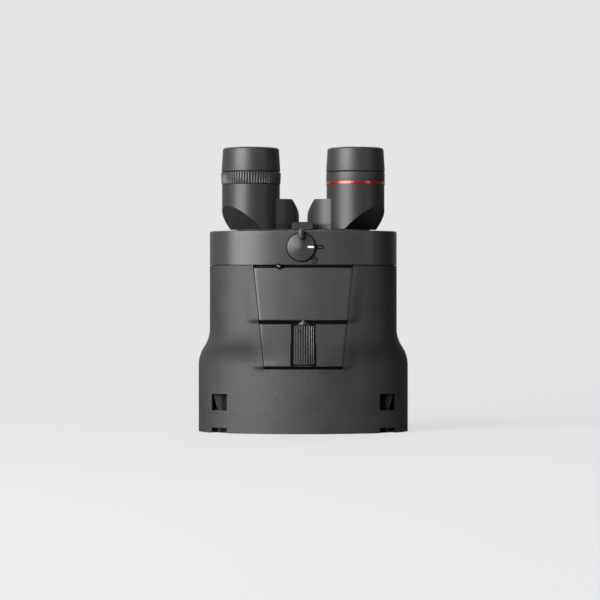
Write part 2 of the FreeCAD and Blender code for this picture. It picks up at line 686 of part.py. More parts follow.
for side, letter in SIDES:
    bar_x = "%d * (waist_half_width - bar_inset - bar_radius)" % side
    bar = cylinder("strap_bar_" + letter, "bar_radius", "slot_high - slot_low",
                   (bar_x, "0", "slot_low"))
    node(bar, "strap_bar_" + letter)
    node(tube("bearing_ring_" + letter, "neck_radius + bearing_wall", "neck_radius + running_fit",
              "head_high - housing_wall", "deck_top", ("%d * pivot_x" % side, "0")),
         "bearing_ring_" + letter)

# Power dial, its bezel and the status light ----------------------------------------------------
FRONT = Rotation(Vector(1, 0, 0), 90)
dial_at = ("dial_x", "-dial_foot", "dial_z")
disc = cylinder("dial_disc", "dial_radius", "dial_thick", dial_at, FRONT)
fin = box("dial_fin", ("dial_x - fin_width / 2", "-dial_foot - dial_thick - fin_out",
                       "dial_z - fin_foot + fin_width / 2"),
          ("dial_x + fin_width / 2", "-dial_foot - dial_thick + 1", "dial_z + fin_top"))
fin_end = cylinder("dial_fin_end", "fin_width / 2", "fin_out + 1",
                   ("dial_x", "-dial_foot - dial_thick + 1", "dial_z - fin_foot + fin_width / 2"), FRONT)
shaft = cylinder("dial_shaft", "shaft_radius", "6.5", ("dial_x", "-dial_foot + 6", "dial_z"), FRONT)
collar = cylinder("dial_collar", "shaft_radius + 1.6", "1.6",
                  ("dial_x", "-head_half_depth + housing_wall + gap + 1.6", "dial_z"), FRONT)
node(fuse("power_dial", [disc, fin, fin_end, shaft, collar]), "power_dial")
bezel_outer = cylinder("bezel_outer", "dial_radius + 1.1", "1.2",
                       ("dial_x", "-head_half_depth + 0.1", "dial_z"), FRONT)
bezel_bore = cylinder("bezel_bore", "dial_radius + gap", "4",
                      ("dial_x", "-head_half_depth + 1", "dial_z"), FRONT)
head_core = feature("bezel_seat", head_solid(0, size("head_low"), size("head_high")))
node(cut("dial_bezel", bezel_outer, [bezel_bore, head_core]), "dial_bezel")
led_at = ("led_x", "-33.4", "led_z")
led_tube = cylinder("led_tube", "led_radius", "5.0", led_at, FRONT)
led_core = cylinder("led_core", "led_radius - 0.6", "9", ("led_x", "-33", "led_z"), FRONT)
node(cut("led_bezel", led_tube, [led_core]), "led_bezel")
node(cylinder("led_lens", "led_radius - 0.6", "4.7", led_at, FRONT), "led_lens")

# Turrets: knuckle and eyepiece tube round a rhomboid prism -------------------------------------
PLANE_UP = Rotation(Vector(0, 1, 0), -45)
ROOT_HALF = repr(math.sqrt(0.5))


def rhomboid(name, clear):
    """The rhomboid prism's outline in the plane of both axes, grown by a clearance."""
    edge = "(%s) * 1.414" % clear
    return slab(name, [
        ("-rhomb_side / 2 - (%s)" % edge, "rhomb_low - (%s)" % clear),
        ("turret_offset - rhomb_side / 2 + (%s)" % clear, "rhomb_low - (%s)" % clear),
        ("turret_offset + rhomb_side / 2 + (%s)" % edge, "rhomb_low + rhomb_side + (%s)" % clear),
        ("rhomb_side / 2 - (%s)" % clear, "rhomb_low + rhomb_side + (%s)" % clear)],
        "rhomb_side + 2 * (%s)" % clear)


def set_in_turret(item, side):
    """Turn a piece drawn about the pivot, eyepiece towards +X, into its own turret."""
    angle = "-turret_angle" if side == RIGHT else "180 + turret_angle"
    item.Placement = FreeCAD.Placement(Vector(), Rotation(Vector(0, 0, 1), 1))
    item.setExpression("Placement.Rotation.Angle", ref(angle))
    item.setExpression("Placement.Base.x", ref("%d * pivot_x" % side))
    return item


def bevel_box(name, at_x, plane_z, above):
    """A big box whose face is the 45 degree plane z = plane_z + (x - at_x)."""
    item = doc.addObject("Part::Box", name)
    bind(item, Length="120", Width="80", Height="60")
    item.Placement = FreeCAD.Placement(Vector(), PLANE_UP)
    shift = "60 * %s" % ROOT_HALF
    if above:
        return place(item, ("(%s) - %s" % (at_x, shift), "-40", "(%s) - %s" % (plane_z, shift)))
    return place(item, ("%s" % at_x, "-40", "(%s) - 2 * %s" % (plane_z, shift)))


for side, letter in SIDES:
    knuckle = cut("knuckle_" + letter,
                  cylinder("knuckle_blank_" + letter, "turret_radius", "turret_high - turret_low",
                           ("0", "0", "turret_low")),
                  [bevel_box("knuckle_bevel_" + letter, "0", "turret_bevel", True)])
    barrel = cut("eye_tube_" + letter,
                 cylinder("eye_tube_blank_" + letter, "tube_radius", "tube_high - turret_low - 0.2",
                          ("turret_offset", "0", "turret_low + 0.2")),
                 [bevel_box("eye_tube_bevel_" + letter, "turret_offset", "tube_bevel", False)])
    neck = cylinder("neck_" + letter, "neck_radius", "turret_low + 1 - neck_low",
                    ("0", "0", "neck_low"))
    spigot = cylinder("spigot_" + letter, "spigot_radius", "spigot_high - tube_high + 1",
                      ("turret_offset", "0", "tube_high - 1"))
    solid = fuse("turret_solid_" + letter, [knuckle, barrel, neck, spigot])
    chamber = rhomboid("prism_chamber_" + letter, "0.1")
    beam = cylinder("beam_bore_" + letter, "beam_radius", "rhomb_low - neck_low + 1",
                    ("0", "0", "neck_low - 1"))
    bore = cylinder("eye_bore_" + letter, "spigot_bore", "spigot_high - rhomb_low - rhomb_side + 1",
                    ("turret_offset", "0", "rhomb_low + rhomb_side"))
    shell = cut("turret_housing_" + letter, solid, [chamber, beam, bore])
    node(set_in_turret(shell, side), "turret_housing_" + letter)
    node(set_in_turret(rhomboid("rhomboid_prism_" + letter, "0"), side), "rhomboid_prism_" + letter)


# Eyepieces ------------------------------------------------------------------------------

def eye_at(side, height="0"):
    """A place on an eyepiece's axis."""
    return ("%d * (pivot_x + turret_offset * cos(turret_angle))" % side,
            "-turret_offset * sin(turret_angle)", height)


def knurled(name, foot, low, high, foot_radius, top_radius, bore, count, depth):
    """A ring with a ring of grooves cut along its axis."""
    body = turned(name, [(bore, low), (foot_radius, low), (top_radius, high), (bore, high)])
    groove = body.newObject("Sketcher::SketchObject", name + "_groove_profile")
    support = [item for item in body.Origin.OriginFeatures if item.Role == "XY_Plane"][0]
    groove.AttachmentSupport = [(support, "")]
    groove.MapMode = "FlatFace"
    radius = float(groove.evalExpression(ref(top_radius)))
    groove.addGeometry(Part.Circle(Vector(radius, 0, 0), Vector(0, 0, 1), size(depth)))
    for kind, first, value, text in (("DistanceX", (-1, 1, 0, 3), radius, top_radius),
                                     ("DistanceY", (-1, 1, 0, 3), 0.0, "0"),
                                     ("Radius", (0,), size(depth), depth)):
        number = groove.addConstraint(Sketcher.Constraint(kind, *first, value))
        groove.setExpression("Constraints[%d]" % number, ref(text))
    groove.setExpression("AttachmentOffset.Base.z", ref("%s + %s" % (low, foot)))
    pocket = body.newObject("PartDesign::Pocket", name + "_groove")
    pocket.Profile = groove
    pocket.Reversed = True
    bind(pocket, Length="(%s) - (%s) - 2 * (%s)" % (high, low, foot))
    doc.recompute()
    pattern = body.newObject("PartDesign::PolarPattern", name + "_grooves")
    pattern.Originals = [pocket]
    axis = [item for item in body.Origin.OriginFeatures if item.Role == "Z_Axis"][0]
    pattern.Axis = (axis, [""])
    pattern.Angle = 360
    pattern.Occurrences = count
    body.Tip = pattern
    return body


RING_RIBS = 66
for side, letter in SIDES:
    slide_fit = "running_fit" if side == LEFT else "0"
    cell = turned("ocular_cell_" + letter, [
        ("ocular_radius - 1.4", "ocular_low"), ("spigot_bore - %s" % slide_fit, "ocular_low"),
        ("spigot_bore - %s" % slide_fit, "ocular_high"), ("ocular_radius + 0.6", "ocular_high"),
        ("ocular_radius", "ocular_high - 1.2"), ("ocular_radius", "ocular_high - 6"),
        ("ocular_radius - 1.4", "ocular_high - 6")])
    node(place(cell, eye_at(side)), "ocular_cell_" + letter)
    glass = cylinder("eye_glass_" + letter, "ocular_radius", "4.6", eye_at(side, "ocular_high - 6"))
    dome = doc.addObject("Part::Sphere", "eye_dome_" + letter)
    bind(dome, Radius="ocular_radius * 3")
    place(dome, eye_at(side, "ocular_high - 1.4 - ocular_radius * 3"))
    node(common("eye_lens_" + letter, glass, dome), "eye_lens_" + letter)
    sleeve = turned("cup_sleeve_" + letter, [
        ("spigot_radius + running_fit", "cup_low"), ("sleeve_radius", "cup_low"),
        ("sleeve_radius", "sleeve_high"), ("spigot_radius + running_fit", "sleeve_high")])
    node(place(sleeve, eye_at(side)), "cup_sleeve_" + letter)
    bore = "sleeve_radius + running_fit"
    cup = turned("eyecup_" + letter, [
        (bore, "cup_low"), ("cup_radius_low", "cup_low"),
        ("cup_radius_high", "cup_high - cup_round"),
        ("cup_radius_high - 0.3 * cup_round", "cup_high - 0.3 * cup_round"),
        ("cup_radius_high - cup_round", "cup_high"), ("cup_mouth + 0.6", "cup_high"),
        ("cup_mouth", "cup_high - 0.8"), ("cup_mouth", "sleeve_high + 1.4"),
        (bore, "sleeve_high + 0.5")])
    node(place(cup, eye_at(side)), "eyecup_" + letter)

ring_low = "tube_high + 0.2"
dioptre = knurled("dioptre_ring", "0.6", ring_low, "ring_high", "ring_foot_radius", "ring_radius",
                  "spigot_radius + running_fit", RING_RIBS, "ring_groove")
node(place(dioptre, eye_at(LEFT)), "dioptre_ring")
accent = turned("accent_ring", [
    ("spigot_radius", "tube_high"), ("accent_radius - 0.3", "tube_high"),
    ("accent_radius", "tube_high + 0.4"), ("accent_radius", "accent_high - 0.3"),
    ("accent_radius - 0.3", "accent_high"), ("spigot_radius", "accent_high")])
node(place(accent, eye_at(RIGHT)), "accent_ring")
plain = turned("plain_ring", [
    ("spigot_radius", "accent_high"), ("ring_foot_radius", "accent_high"),
    ("ring_foot_radius", "ring_high - 0.4"), ("ring_foot_radius - 0.4", "ring_high"),
    ("spigot_radius", "ring_high")])
node(place(plain, eye_at(RIGHT)), "plain_ring")

# Meshed gear sectors that make both turrets swing together -------------------------------------

def gear_sector(side):
    """A toothed sector round a turret's neck; its teeth point at the other turret."""
    teeth = size("gear_teeth")
    module = 2 * size("pivot_x") / teeth
    pitch_radius = module * teeth / 2
    tip = pitch_radius + 0.75 * module
    root = pitch_radius - 1.05 * module
    step = 2 * math.pi / teeth
    thick = 0.40 * step
    lean = 0.09 * step
    first = -5
    last = 6
    points = []
    facing = math.pi if side == RIGHT else 0.0
    shift = 0.0 if side == RIGHT else 0.5
    for number in range(first, last):
        middle = number + shift
        if side == LEFT:
            middle = -middle
        centre = facing + middle * step * (1 if side == RIGHT else -1)
        for radius, offset in ((root, -thick / 2 - lean), (tip, -thick / 2 + lean),
                               (tip, thick / 2 - lean), (root, thick / 2 + lean)):
            points.append(Vector(radius * math.cos(centre + offset),
                                 radius * math.sin(centre + offset), 0))
    hub = size("neck_radius") + 1.6
    face = Part.Face(Part.makePolygon([Vector(0, 0, 0)] + points + [Vector(0, 0, 0)]))
    sector = face.extrude(Vector(0, 0, size("gear_thick")))
    sector = sector.fuse(Part.makeCylinder(hub, size("gear_thick")))
    sector = sector.cut(Part.makeCylinder(size("neck_radius"), size("gear_thick") + 2,
                                          Vector(0, 0, -1)))
    return sector


for side, letter in SIDES:
    sector = feature("gear_sector_" + letter, gear_sector(side))
    node(place(sector, ("%d * pivot_x" % side, "0", "gear_low")), "gear_sector_" + letter)

# Focus wheel, lead screw and the carriage that they drive --------------------------------------
WHEEL_RIBS = 42
wheel = knurled("focus_wheel", "1.0", "wheel_low", "wheel_high", "wheel_radius", "wheel_radius",
                "screw_radius", WHEEL_RIBS, "wheel_groove")
wheel_at = ("0", "-wheel_axis_y", "0")
node(place(wheel, wheel_at), "focus_wheel")
spindle = turned("focus_screw", [
    ("0", "screw_low"), ("screw_radius", "screw_low"), ("screw_radius", "wheel_high"),
    ("pin_radius + 0.5", "wheel_high + 0.4"),
    ("pin_radius + 0.5", "bulkhead_low + bulkhead_thick - 0.3"),
    ("0", "bulkhead_low + bulkhead_thick - 0.3")])
node(place(spindle, wheel_at), "focus_screw")

bridge = box("carriage_bridge", ("-objective_axis_x", "-rod_front_y - 3", "carriage_low"),
             ("objective_axis_x", "rod_back_y + 3", "carriage_low + carriage_thick"))
stem = box("carriage_stem", ("-stem_half", "-13", "nut_low + 1"),
           ("stem_half", "-rod_front_y - 2", "carriage_low + carriage_thick"))
arm = box("carriage_arm", ("-stem_half", "-wheel_axis_y", "nut_low + 1"),
          ("stem_half", "-10", "nut_high - 1"))
nut = cylinder("carriage_nut", "screw_radius + nut_wall", "nut_high - nut_low",
               ("0", "-wheel_axis_y", "nut_low"))
cells = [cylinder("lens_cell_" + letter, "cell_radius", "8",
                  ("%d * objective_axis_x" % side, "0", "carriage_low - 2")) for side, letter in SIDES]
carriage_solid = fuse("carriage_solid", [bridge, stem, arm, nut] + cells)
cell_bores = [cylinder("lens_bore_" + letter, "cell_radius - cell_wall", "20",
                       ("%d * objective_axis_x" % side, "0", "carriage_low - 8"))
              for side, letter in SIDES]
screw_bore = cylinder("nut_bore", "screw_radius + running_fit", "30",
                      ("0", "-wheel_axis_y", "nut_low - 5"))
rod_bores = [cylinder("rod_bore_%d" % number, "pin_radius + running_fit", "40",
                      ("0", rod_y, "nut_low"))
             for number, rod_y in enumerate(("rod_front_y", "rod_back_y"))]
carriage = cut("focus_carriage", carriage_solid, cell_bores + [screw_bore] + rod_bores)
node(carriage, "focus_carriage")
for side, letter in SIDES:
    node(cylinder("focus_lens_" + letter, "cell_radius - cell_wall", "3.5",
                  ("%d * objective_axis_x" % side, "0", "carriage_low")), "focus_lens_" + letter)
rods = [cylinder("guide_rod_%d" % number, "pin_radius", "bulkhead_low + 1 - 2.2", ("0", rod_y, "2.2"))
        for number, rod_y in enumerate(("rod_front_y", "rod_back_y"))]
node(fuse("guide_rods", rods), "guide_rods")

# Bulkhead across the housing: it carries the rods, the wheel's pin and the gimbal posts --------
bulkhead = body_solid(skin_wall, size("bulkhead_low"),
                      size("bulkhead_low") + size("bulkhead_thick"))
for side, letter in SIDES:
    bulkhead = bulkhead.cut(Part.makeCylinder(size("cell_radius") - 1, 20,
                                              Vector(side * (size("objective_axis_x") - 6), 0, 60)))
    bulkhead = bulkhead.cut(Part.makeCylinder(size("cell_radius") - 1, 20,
                                              Vector(side * size("objective_axis_x"), 0, 60)))
for rod_y in (size("rod_front_y"), size("rod_back_y")):
    bulkhead = bulkhead.cut(Part.makeCylinder(size("pin_radius"), 11,
                                              Vector(0, rod_y, size("bulkhead_low") - 10)))
bulkhead = bulkhead.cut(Part.makeCylinder(size("pin_radius") + 0.5 + size("running_fit"), 20,
                                          Vector(0, -size("wheel_axis_y"), 60)))
node(feature("bulkhead", bulkhead), "bulkhead")

# Gimbal that steadies both erecting prisms -----------------------------------------------------
inner_x = "gimbal_half_x - gimbal_rim - gimbal_air"
inner_y = "gimbal_half_y - gimbal_rim - gimbal_air"


def ring_box(name, half_x, half_y, low, high):
    return box(name, ("-(%s)" % half_x, "-(%s)" % half_y, low), (half_x, half_y, high))


gimbal_low = "gimbal_z - gimbal_tall / 2"
gimbal_high = "gimbal_z + gimbal_tall / 2"
pin_bore_y = cylinder("gimbal_bore_y", "pin_radius + running_fit", "4 * gimbal_half_y",
                      ("0", "-2 * gimbal_half_y", "gimbal_z"), ALONG_Y)
pin_bore_x = cylinder("gimbal_bore_x", "pin_radius + running_fit", "4 * gimbal_half_x",
                      ("-2 * gimbal_half_x", "0", "gimbal_z"), ALONG_X)
outer_ring = cut("gimbal_outer", ring_box("gimbal_outer_blank", "gimbal_half_x", "gimbal_half_y",
                                          gimbal_low, gimbal_high),
                 [ring_box("gimbal_outer_space", "gimbal_half_x - gimbal_rim",
                           "gimbal_half_y - gimbal_rim", gimbal_low + " - 1", gimbal_high + " + 1"),
                  pin_bore_y, pin_bore_x])
node(outer_ring, "gimbal_outer")
inner_blank = ring_box("gimbal_inner_blank", inner_x, inner_y,
                       gimbal_low + " + 0.5", gimbal_high + " - 0.5")
windows = []
for side, letter in SIDES:
    prism_sides = "(%d * prism_inner_x; %d * prism_outer_x)" % (side, side)
    windows.append(box("prism_window_" + letter,
                       ("min" + prism_sides, "-prism_half_y", "gimbal_z - 20"),
                       ("max" + prism_sides, "prism_half_y", "gimbal_z + 20")))
gimbal_plate = cut("gimbal_plate", inner_blank, windows)
trunnions = []
for side, letter in SIDES:
    root = "1" if side == RIGHT else "gimbal_air - gimbal_rim"
    trunnions.append(cylinder("trunnion_" + letter, "pin_radius", "gimbal_air + gimbal_rim + 1",
                              ("%d * (%s) - %s" % (side, inner_x, root), "0", "gimbal_z"), ALONG_X))
node(fuse("gimbal_inner", [gimbal_plate] + trunnions), "gimbal_inner")
for side, letter in SIDES:
    prism = slab("erecting_prism_" + letter, [
        ("%d * prism_inner_x" % side, "gimbal_z - prism_half_tall + 5"),
        ("%d * (prism_inner_x + 5)" % side, "gimbal_z - prism_half_tall"),
        ("%d * prism_outer_x" % side, "gimbal_z - prism_half_tall"),
        ("%d * prism_outer_x" % side, "gimbal_z + prism_half_tall - 8"),
        ("%d * (prism_outer_x - 8)" % side, "gimbal_z + prism_half_tall"),
        ("%d * prism_inner_x" % side, "gimbal_z + prism_half_tall")], "2 * prism_half_y")
    node(prism, "erecting_prism_" + letter)

post_in = "gimbal_half_y + 0.6"
posts = []
for number, way in enumerate((-1, 1)):
    start = "min(%d * (%s); %d * (%s + 3))" % (way, post_in, way, post_in)
    end = "max(%d * (%s); %d * (%s + 3))" % (way, post_in, way, post_in)
    posts.append(box("gimbal_post_%d" % number, ("-4", start, "bulkhead_low + bulkhead_thick"),
                     ("4", end, "gimbal_z + 4")))
    pin_start = "-gimbal_half_y - 2" if way < 0 else "gimbal_half_y - gimbal_rim + 0.2"
    posts.append(cylinder("gimbal_pin_%d" % number, "pin_radius", "gimbal_rim + 1.8",
                          ("0", pin_start, "gimbal_z"), ALONG_Y))
node(fuse("gimbal_posts", posts), "gimbal_posts")

# Electronics, battery bay, door and tripod bush ------------------------------------------------
board_at = "-gimbal_half_y - 5.2"
board = box("circuit_board", ("-22", board_at + " - 1.2", "bulkhead_low + 4"),
            ("22", board_at, "head_low - 4"))
node(board, "circuit_board")
chips = [box("chip_%d" % number, (repr(x), board_at + " - 2.4", repr(z)),
             (repr(x + wide), board_at + " - 1.2", repr(z + tall)))
         for number, (x, z, wide, tall) in enumerate(((-18.0, 78.0, 9.0, 9.0), (-4.0, 82.0, 5.0, 5.0),
                                                      (8.0, 80.0, 6.0, 4.0), (8.0, 88.0, 10.0, 6.0)))]
node(fuse("gyro_chips", chips), "gyro_chips")

cells = [cylinder("battery_" + letter, "battery_radius", "battery_length",
                  ("%d * cell_x" % side, "cell_y", "battery_low")) for side, letter in SIDES]
node(fuse("battery_cells", cells), "battery_cells")
tray_low = "battery_low - tray_wall"
tray_high = "battery_low + battery_length + 1"
tray_walls = [cylinder("tray_wall_" + letter, "battery_radius + 0.3 + tray_wall",
                       "(%s) - (%s) + tray_wall" % (tray_high, tray_low),
                       ("%d * cell_x" % side, "cell_y", tray_low)) for side, letter in SIDES]
tray_fill = box("tray_fill", ("-cell_x", "cell_y - battery_radius - 0.3 - tray_wall", tray_low),
                ("cell_x", "cell_y", tray_high + " + tray_wall"))
tray_bores = [cylinder("tray_bore_" + letter, "battery_radius + 0.3",
                       "(%s) - (%s) - tray_wall" % (tray_high, tray_low),
                       ("%d * cell_x" % side, "cell_y", "battery_low")) for side, letter in SIDES]
tray_mouth = box("tray_mouth", ("-30", "cell_y", "battery_low"), ("30", "cell_y + 30", tray_high))
tray_floor = box("tray_back", ("-30", "cell_y + 6.6", "battery_low - 9"),
                 ("30", "cell_y + 30", tray_high + " + 9"))
tray_gap = box("tray_gap", ("-cell_x", "cell_y - battery_radius + 2", "battery_low"),
               ("cell_x", "cell_y + 1", tray_high))
node(cut("battery_tray", fuse("tray_solid", tray_walls + [tray_fill]),
         tray_bores + [tray_mouth, tray_floor, tray_gap]), "battery_tray")

door = body_solid(0, size("door_low"), size("door_high"))
door = door.cut(body_solid(size("armour_wall") + 1.4, 0, 110))
door = door.common(Part.makeBox(2 * size("door_half"), 30, size("door_high") - size("door_low"),
                                Vector(-size("door_half"), 20, size("door_low"))))
knuckle_half = 0.7 * size("door_half") - size("gap")
barrel = Part.makeCylinder(size("hinge_radius"), 2 * knuckle_half,
                           Vector(-knuckle_half, size("hinge_y"), size("hinge_z")), Vector(1, 0, 0))
neck = Part.makeBox(2 * knuckle_half, 1.8, size("hinge_z") - size("door_high") + 1,
                    Vector(-knuckle_half, size("hinge_y") - 0.9, size("door_high") - 1))
door = door.fuse(barrel).fuse(neck)
door = door.cut(Part.makeCylinder(size("hinge_pin") + size("running_fit"), 4 * size("door_half"),
                                  Vector(-2 * size("door_half"), size("hinge_y"), size("hinge_z")),
                                  Vector(1, 0, 0)))
pocket = Part.makeBox(2 * (size("latch_half") + size("gap")), 20,
                      size("latch_tall") + size("latch_travel") + 2 * size("gap"),
                      Vector(-size("latch_half") - size("gap"), size("base_half_depth") - 1.6,
                             size("latch_low") - size("gap")))
node(feature("battery_door", door.cut(pocket)), "battery_door")
latch = box("latch_plate", ("-latch_half", "base_half_depth - 1.5", "latch_low"),
            ("latch_half", "base_half_depth - 0.4", "latch_low + latch_tall"))
ridges = [box("latch_ridge_%d" % number,
              ("-latch_half + 1", "base_half_depth - 1", "latch_low + %r" % height),
              ("latch_half - 1", "base_half_depth + 0.3", "latch_low + %r" % (height + 0.6)))
          for number, height in enumerate((1.2, 2.7, 4.2))]
node(fuse("battery_latch", [latch] + ridges), "battery_latch")
node(cylinder("door_pin", "hinge_pin", "2 * door_half + 3", ("-door_half - 1.5", "hinge_y", "hinge_z"),
              ALONG_X), "door_pin")
bush = cylinder("bush_blank", "bush_radius", "waist_half_depth - 28.4", ("0", "28.4", "bush_z"), ALONG_Y)
bush_thread = cylinder("bush_thread", "bush_bore", "bush_depth + 1",
                       ("0", "waist_half_depth - bush_depth", "bush_z"), ALONG_Y)
node(cut("tripod_bush", bush, [bush_thread]), "tripod_bush")

screws = []
for number, (x, y) in enumerate(frame_screw_places()):
    head_part = cylinder("screw_head_%d" % number, "screw_head", "screw_head_tall",
                         (repr(x), repr(y), "screw_sunk"))
    shank = cylinder("screw_shank_%d" % number, "case_screw", "screw_length",
                     (repr(x), repr(y), "screw_sunk"))
    screws.append(fuse("screw_%d" % number, [head_part, shank]))
node(fuse("case_screws", screws), "case_screws")

# Check and write every piece -------------------------------------------------------------------
doc.recompute()
os.makedirs("parts", exist_ok=True)
for item in doc.Objects:
    if "Invalid" in item.State or "Error" in item.State:
        raise RuntimeError("%s failed: %s" % (item.Label, item.State))
for item in NODES:
    shape = item.Shape
    if shape.isNull() or not shape.isValid():
        raise RuntimeError("%s has no valid shape" % item.Label)
    shape.exportStep(os.path.join("parts", item.Label + ".step"))
    print("%-20s %d solid(s) %10.1f mm3" % (item.Label, len(shape.Solids), shape.Volume))
print(len(NODES), "nodes")
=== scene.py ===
# %% [markdown]
# # Image-stabilised binoculars
# The binoculars stand on their objective end, eyepieces up. The moving frame comes
# ready made: every part already has its place, its joints and its real size. This
# notebook adds what the eye needs: finely shaped shells, ribbed rings, marks and
# materials. Everything is in metres, with +Z towards the eyepieces and the focus
# wheel on the -Y side.

import json
import math

import bmesh
import bpy
from mathutils import Matrix, Vector


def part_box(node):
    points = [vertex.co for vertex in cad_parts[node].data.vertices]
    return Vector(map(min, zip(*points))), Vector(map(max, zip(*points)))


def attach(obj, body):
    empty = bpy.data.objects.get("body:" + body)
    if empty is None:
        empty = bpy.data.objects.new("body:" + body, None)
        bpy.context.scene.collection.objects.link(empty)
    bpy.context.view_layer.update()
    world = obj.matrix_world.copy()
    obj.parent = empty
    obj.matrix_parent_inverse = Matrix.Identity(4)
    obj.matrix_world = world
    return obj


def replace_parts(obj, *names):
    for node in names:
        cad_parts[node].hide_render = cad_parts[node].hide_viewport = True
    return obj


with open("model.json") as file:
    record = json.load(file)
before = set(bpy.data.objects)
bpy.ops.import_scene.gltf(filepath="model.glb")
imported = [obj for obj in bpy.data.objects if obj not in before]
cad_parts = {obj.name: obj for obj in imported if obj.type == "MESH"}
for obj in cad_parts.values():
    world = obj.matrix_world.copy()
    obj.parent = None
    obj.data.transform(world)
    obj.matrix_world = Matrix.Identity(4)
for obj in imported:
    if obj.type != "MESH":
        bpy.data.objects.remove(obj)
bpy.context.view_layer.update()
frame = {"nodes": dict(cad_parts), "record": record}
MM = 0.001

# %% [markdown]
# A small toolbox for shader maths. Blender's materials are graphs of nodes; written as
# plain expressions they stay readable. `Value` wraps one socket, and each operator adds
# the Math node that does the same sum.

# %% Shader toolbox
class Value:
    """One number of a shader graph, ready for ordinary arithmetic."""

    def __init__(self, sheet, socket):
        self.sheet = sheet
        self.socket = socket

    def _math(self, operation, first, second):
        node = self.sheet.add("ShaderNodeMath", {"operation": operation}, {0: first, 1: second})
        return Value(self.sheet, node.outputs[0])

    def __add__(self, other):
        return self._math("ADD", self, other)

    def __radd__(self, other):
        return self._math("ADD", other, self)

    def __sub__(self, other):
        return self._math("SUBTRACT", self, other)

    def __rsub__(self, other):
        return self._math("SUBTRACT", other, self)

    def __mul__(self, other):
        return self._math("MULTIPLY", self, other)

    def __rmul__(self, other):
        return self._math("MULTIPLY", other, self)

    def over(self, low, high):
        """0 where the value is at low, 1 where it is at high, held in between."""
        node = self.sheet.add("ShaderNodeMapRange", {"clamp": True},
                              {"Value": self, "From Min": low, "From Max": high})
        return Value(self.sheet, node.outputs[0])


class Sheet:
    """A node graph that nodes are added to."""

    def __init__(self, tree):
        self.tree = tree

    def add(self, kind, settings, sockets):
        """A node of any type: its settings first, then the values or links of its sockets."""
        node = self.tree.nodes.new(kind)
        for key, value in settings.items():
            setattr(node, key, value)
        for key, value in sockets.items():
            self.join(node.inputs[key], value)
        return node

    def join(self, target, value):
        """Link a value to a socket, or set the socket to a plain number or colour."""
        if isinstance(value, Value):
            value = value.socket
        if isinstance(value, bpy.types.NodeSocket):
            self.tree.links.new(value, target)
        else:
            target.default_value = value


class SurfaceSheet(Sheet):
    """One material's node graph, around its main shader."""

    def __init__(self, name):
        self.material = bpy.data.materials.new(name)
        self.material.use_nodes = True
        super().__init__(self.material.node_tree)
        self.shader = self.tree.nodes["Principled BSDF"]
        self.place = self.add("ShaderNodeTexCoord", {}, {}).outputs["Object"]

    def noise(self, grain, detail=3.0, roughness=0.5):
        """Soft cloudy variation; grain is the size of a speck in metres."""
        node = self.add("ShaderNodeTexNoise", {},
                        {"Vector": self.place, "Scale": 1 / grain, "Detail": detail,
                         "Roughness": roughness})
        return Value(self, node.outputs["Fac"])

    def pebbles(self, grain):
        """Packed rounded cells, as in a moulded grain."""
        node = self.add("ShaderNodeTexVoronoi", {"feature": "SMOOTH_F1"},
                        {"Vector": self.place, "Scale": 1 / grain, "Smoothness": 0.6})
        return Value(self, node.outputs["Distance"])

    def blend(self, first, second, share):
        """A colour between two colours."""
        node = self.add("ShaderNodeMix", {"data_type": "RGBA"},
                        {"Factor": share, "A": (*first, 1.0), "B": (*second, 1.0)})
        return node.outputs["Result"]

    def edges(self, reach):
        """1 along sharp outer edges and 0 on plain faces, from a rounded-normal test."""
        bevel = self.add("ShaderNodeBevel", {"samples": 4}, {"Radius": reach})
        plain = self.add("ShaderNodeNewGeometry", {}, {})
        likeness = self.add("ShaderNodeVectorMath", {"operation": "DOT_PRODUCT"},
                            {0: bevel.outputs[0], 1: plain.outputs["Normal"]})
        return Value(self, likeness.outputs["Value"]).over(0.995, 0.90)

    def bump(self, height, depth):
        """Relief on the surface: height from 0 to 1, depth in metres."""
        node = self.add("ShaderNodeBump", {}, {"Height": height, "Distance": depth, "Strength": 1.0})
        self.join(self.shader.inputs["Normal"], node.outputs[0])

    def set(self, **values):
        """Sockets of the shader by name, with spaces written as underscores."""
        for key, value in values.items():
            self.join(self.shader.inputs[key.replace("_", " ")], value)
        return self.material


# %% [markdown]
# ## Finishes
# The real body is charcoal from end to end, and what tells the pieces apart is their
# surface: grained rubber on the grip, finely sparked plastic on the covers, satin paint on
# the turrets. So each finish gets its own grain size, its own roughness and a slight
# paling along worn edges.

# %% Finishes
def moulded(name, shade, grain, grain_depth, rough, spread=0.05, worn=1.5, soft=0.25, shine=0.5,
            speckle=0.16):
    """A dark moulded finish: base shade, grain in metres, and roughness."""
    sheet = SurfaceSheet(name)
    cloud = sheet.noise(0.02, 4.0)
    fine = sheet.noise(grain * 0.7, 2.0, 0.6)
    pebble = sheet.pebbles(grain)
    tone = (cloud * 0.3 + fine * 0.7).over(0.36, 0.64)
    dark = tuple(part * (1 - speckle) for part in shade)
    light = tuple(part * (1 + speckle) for part in shade)
    colour = sheet.blend(dark, light, tone)
    edge = sheet.edges(0.0006)
    worn_tone = tuple(min(1.0, part * worn + 0.004) for part in shade)
    mixed = sheet.add("ShaderNodeMix", {"data_type": "RGBA"},
                      {"Factor": edge * 0.45, "A": colour, "B": (*worn_tone, 1.0)})
    sheet.bump(pebble * (1 - soft) + fine * soft, grain_depth)
    sheet.shader.inputs["Specular IOR Level"].default_value = shine
    return sheet.set(Base_Color=mixed.outputs["Result"],
                     Roughness=rough - spread + tone * (2 * spread) - edge * 0.06)


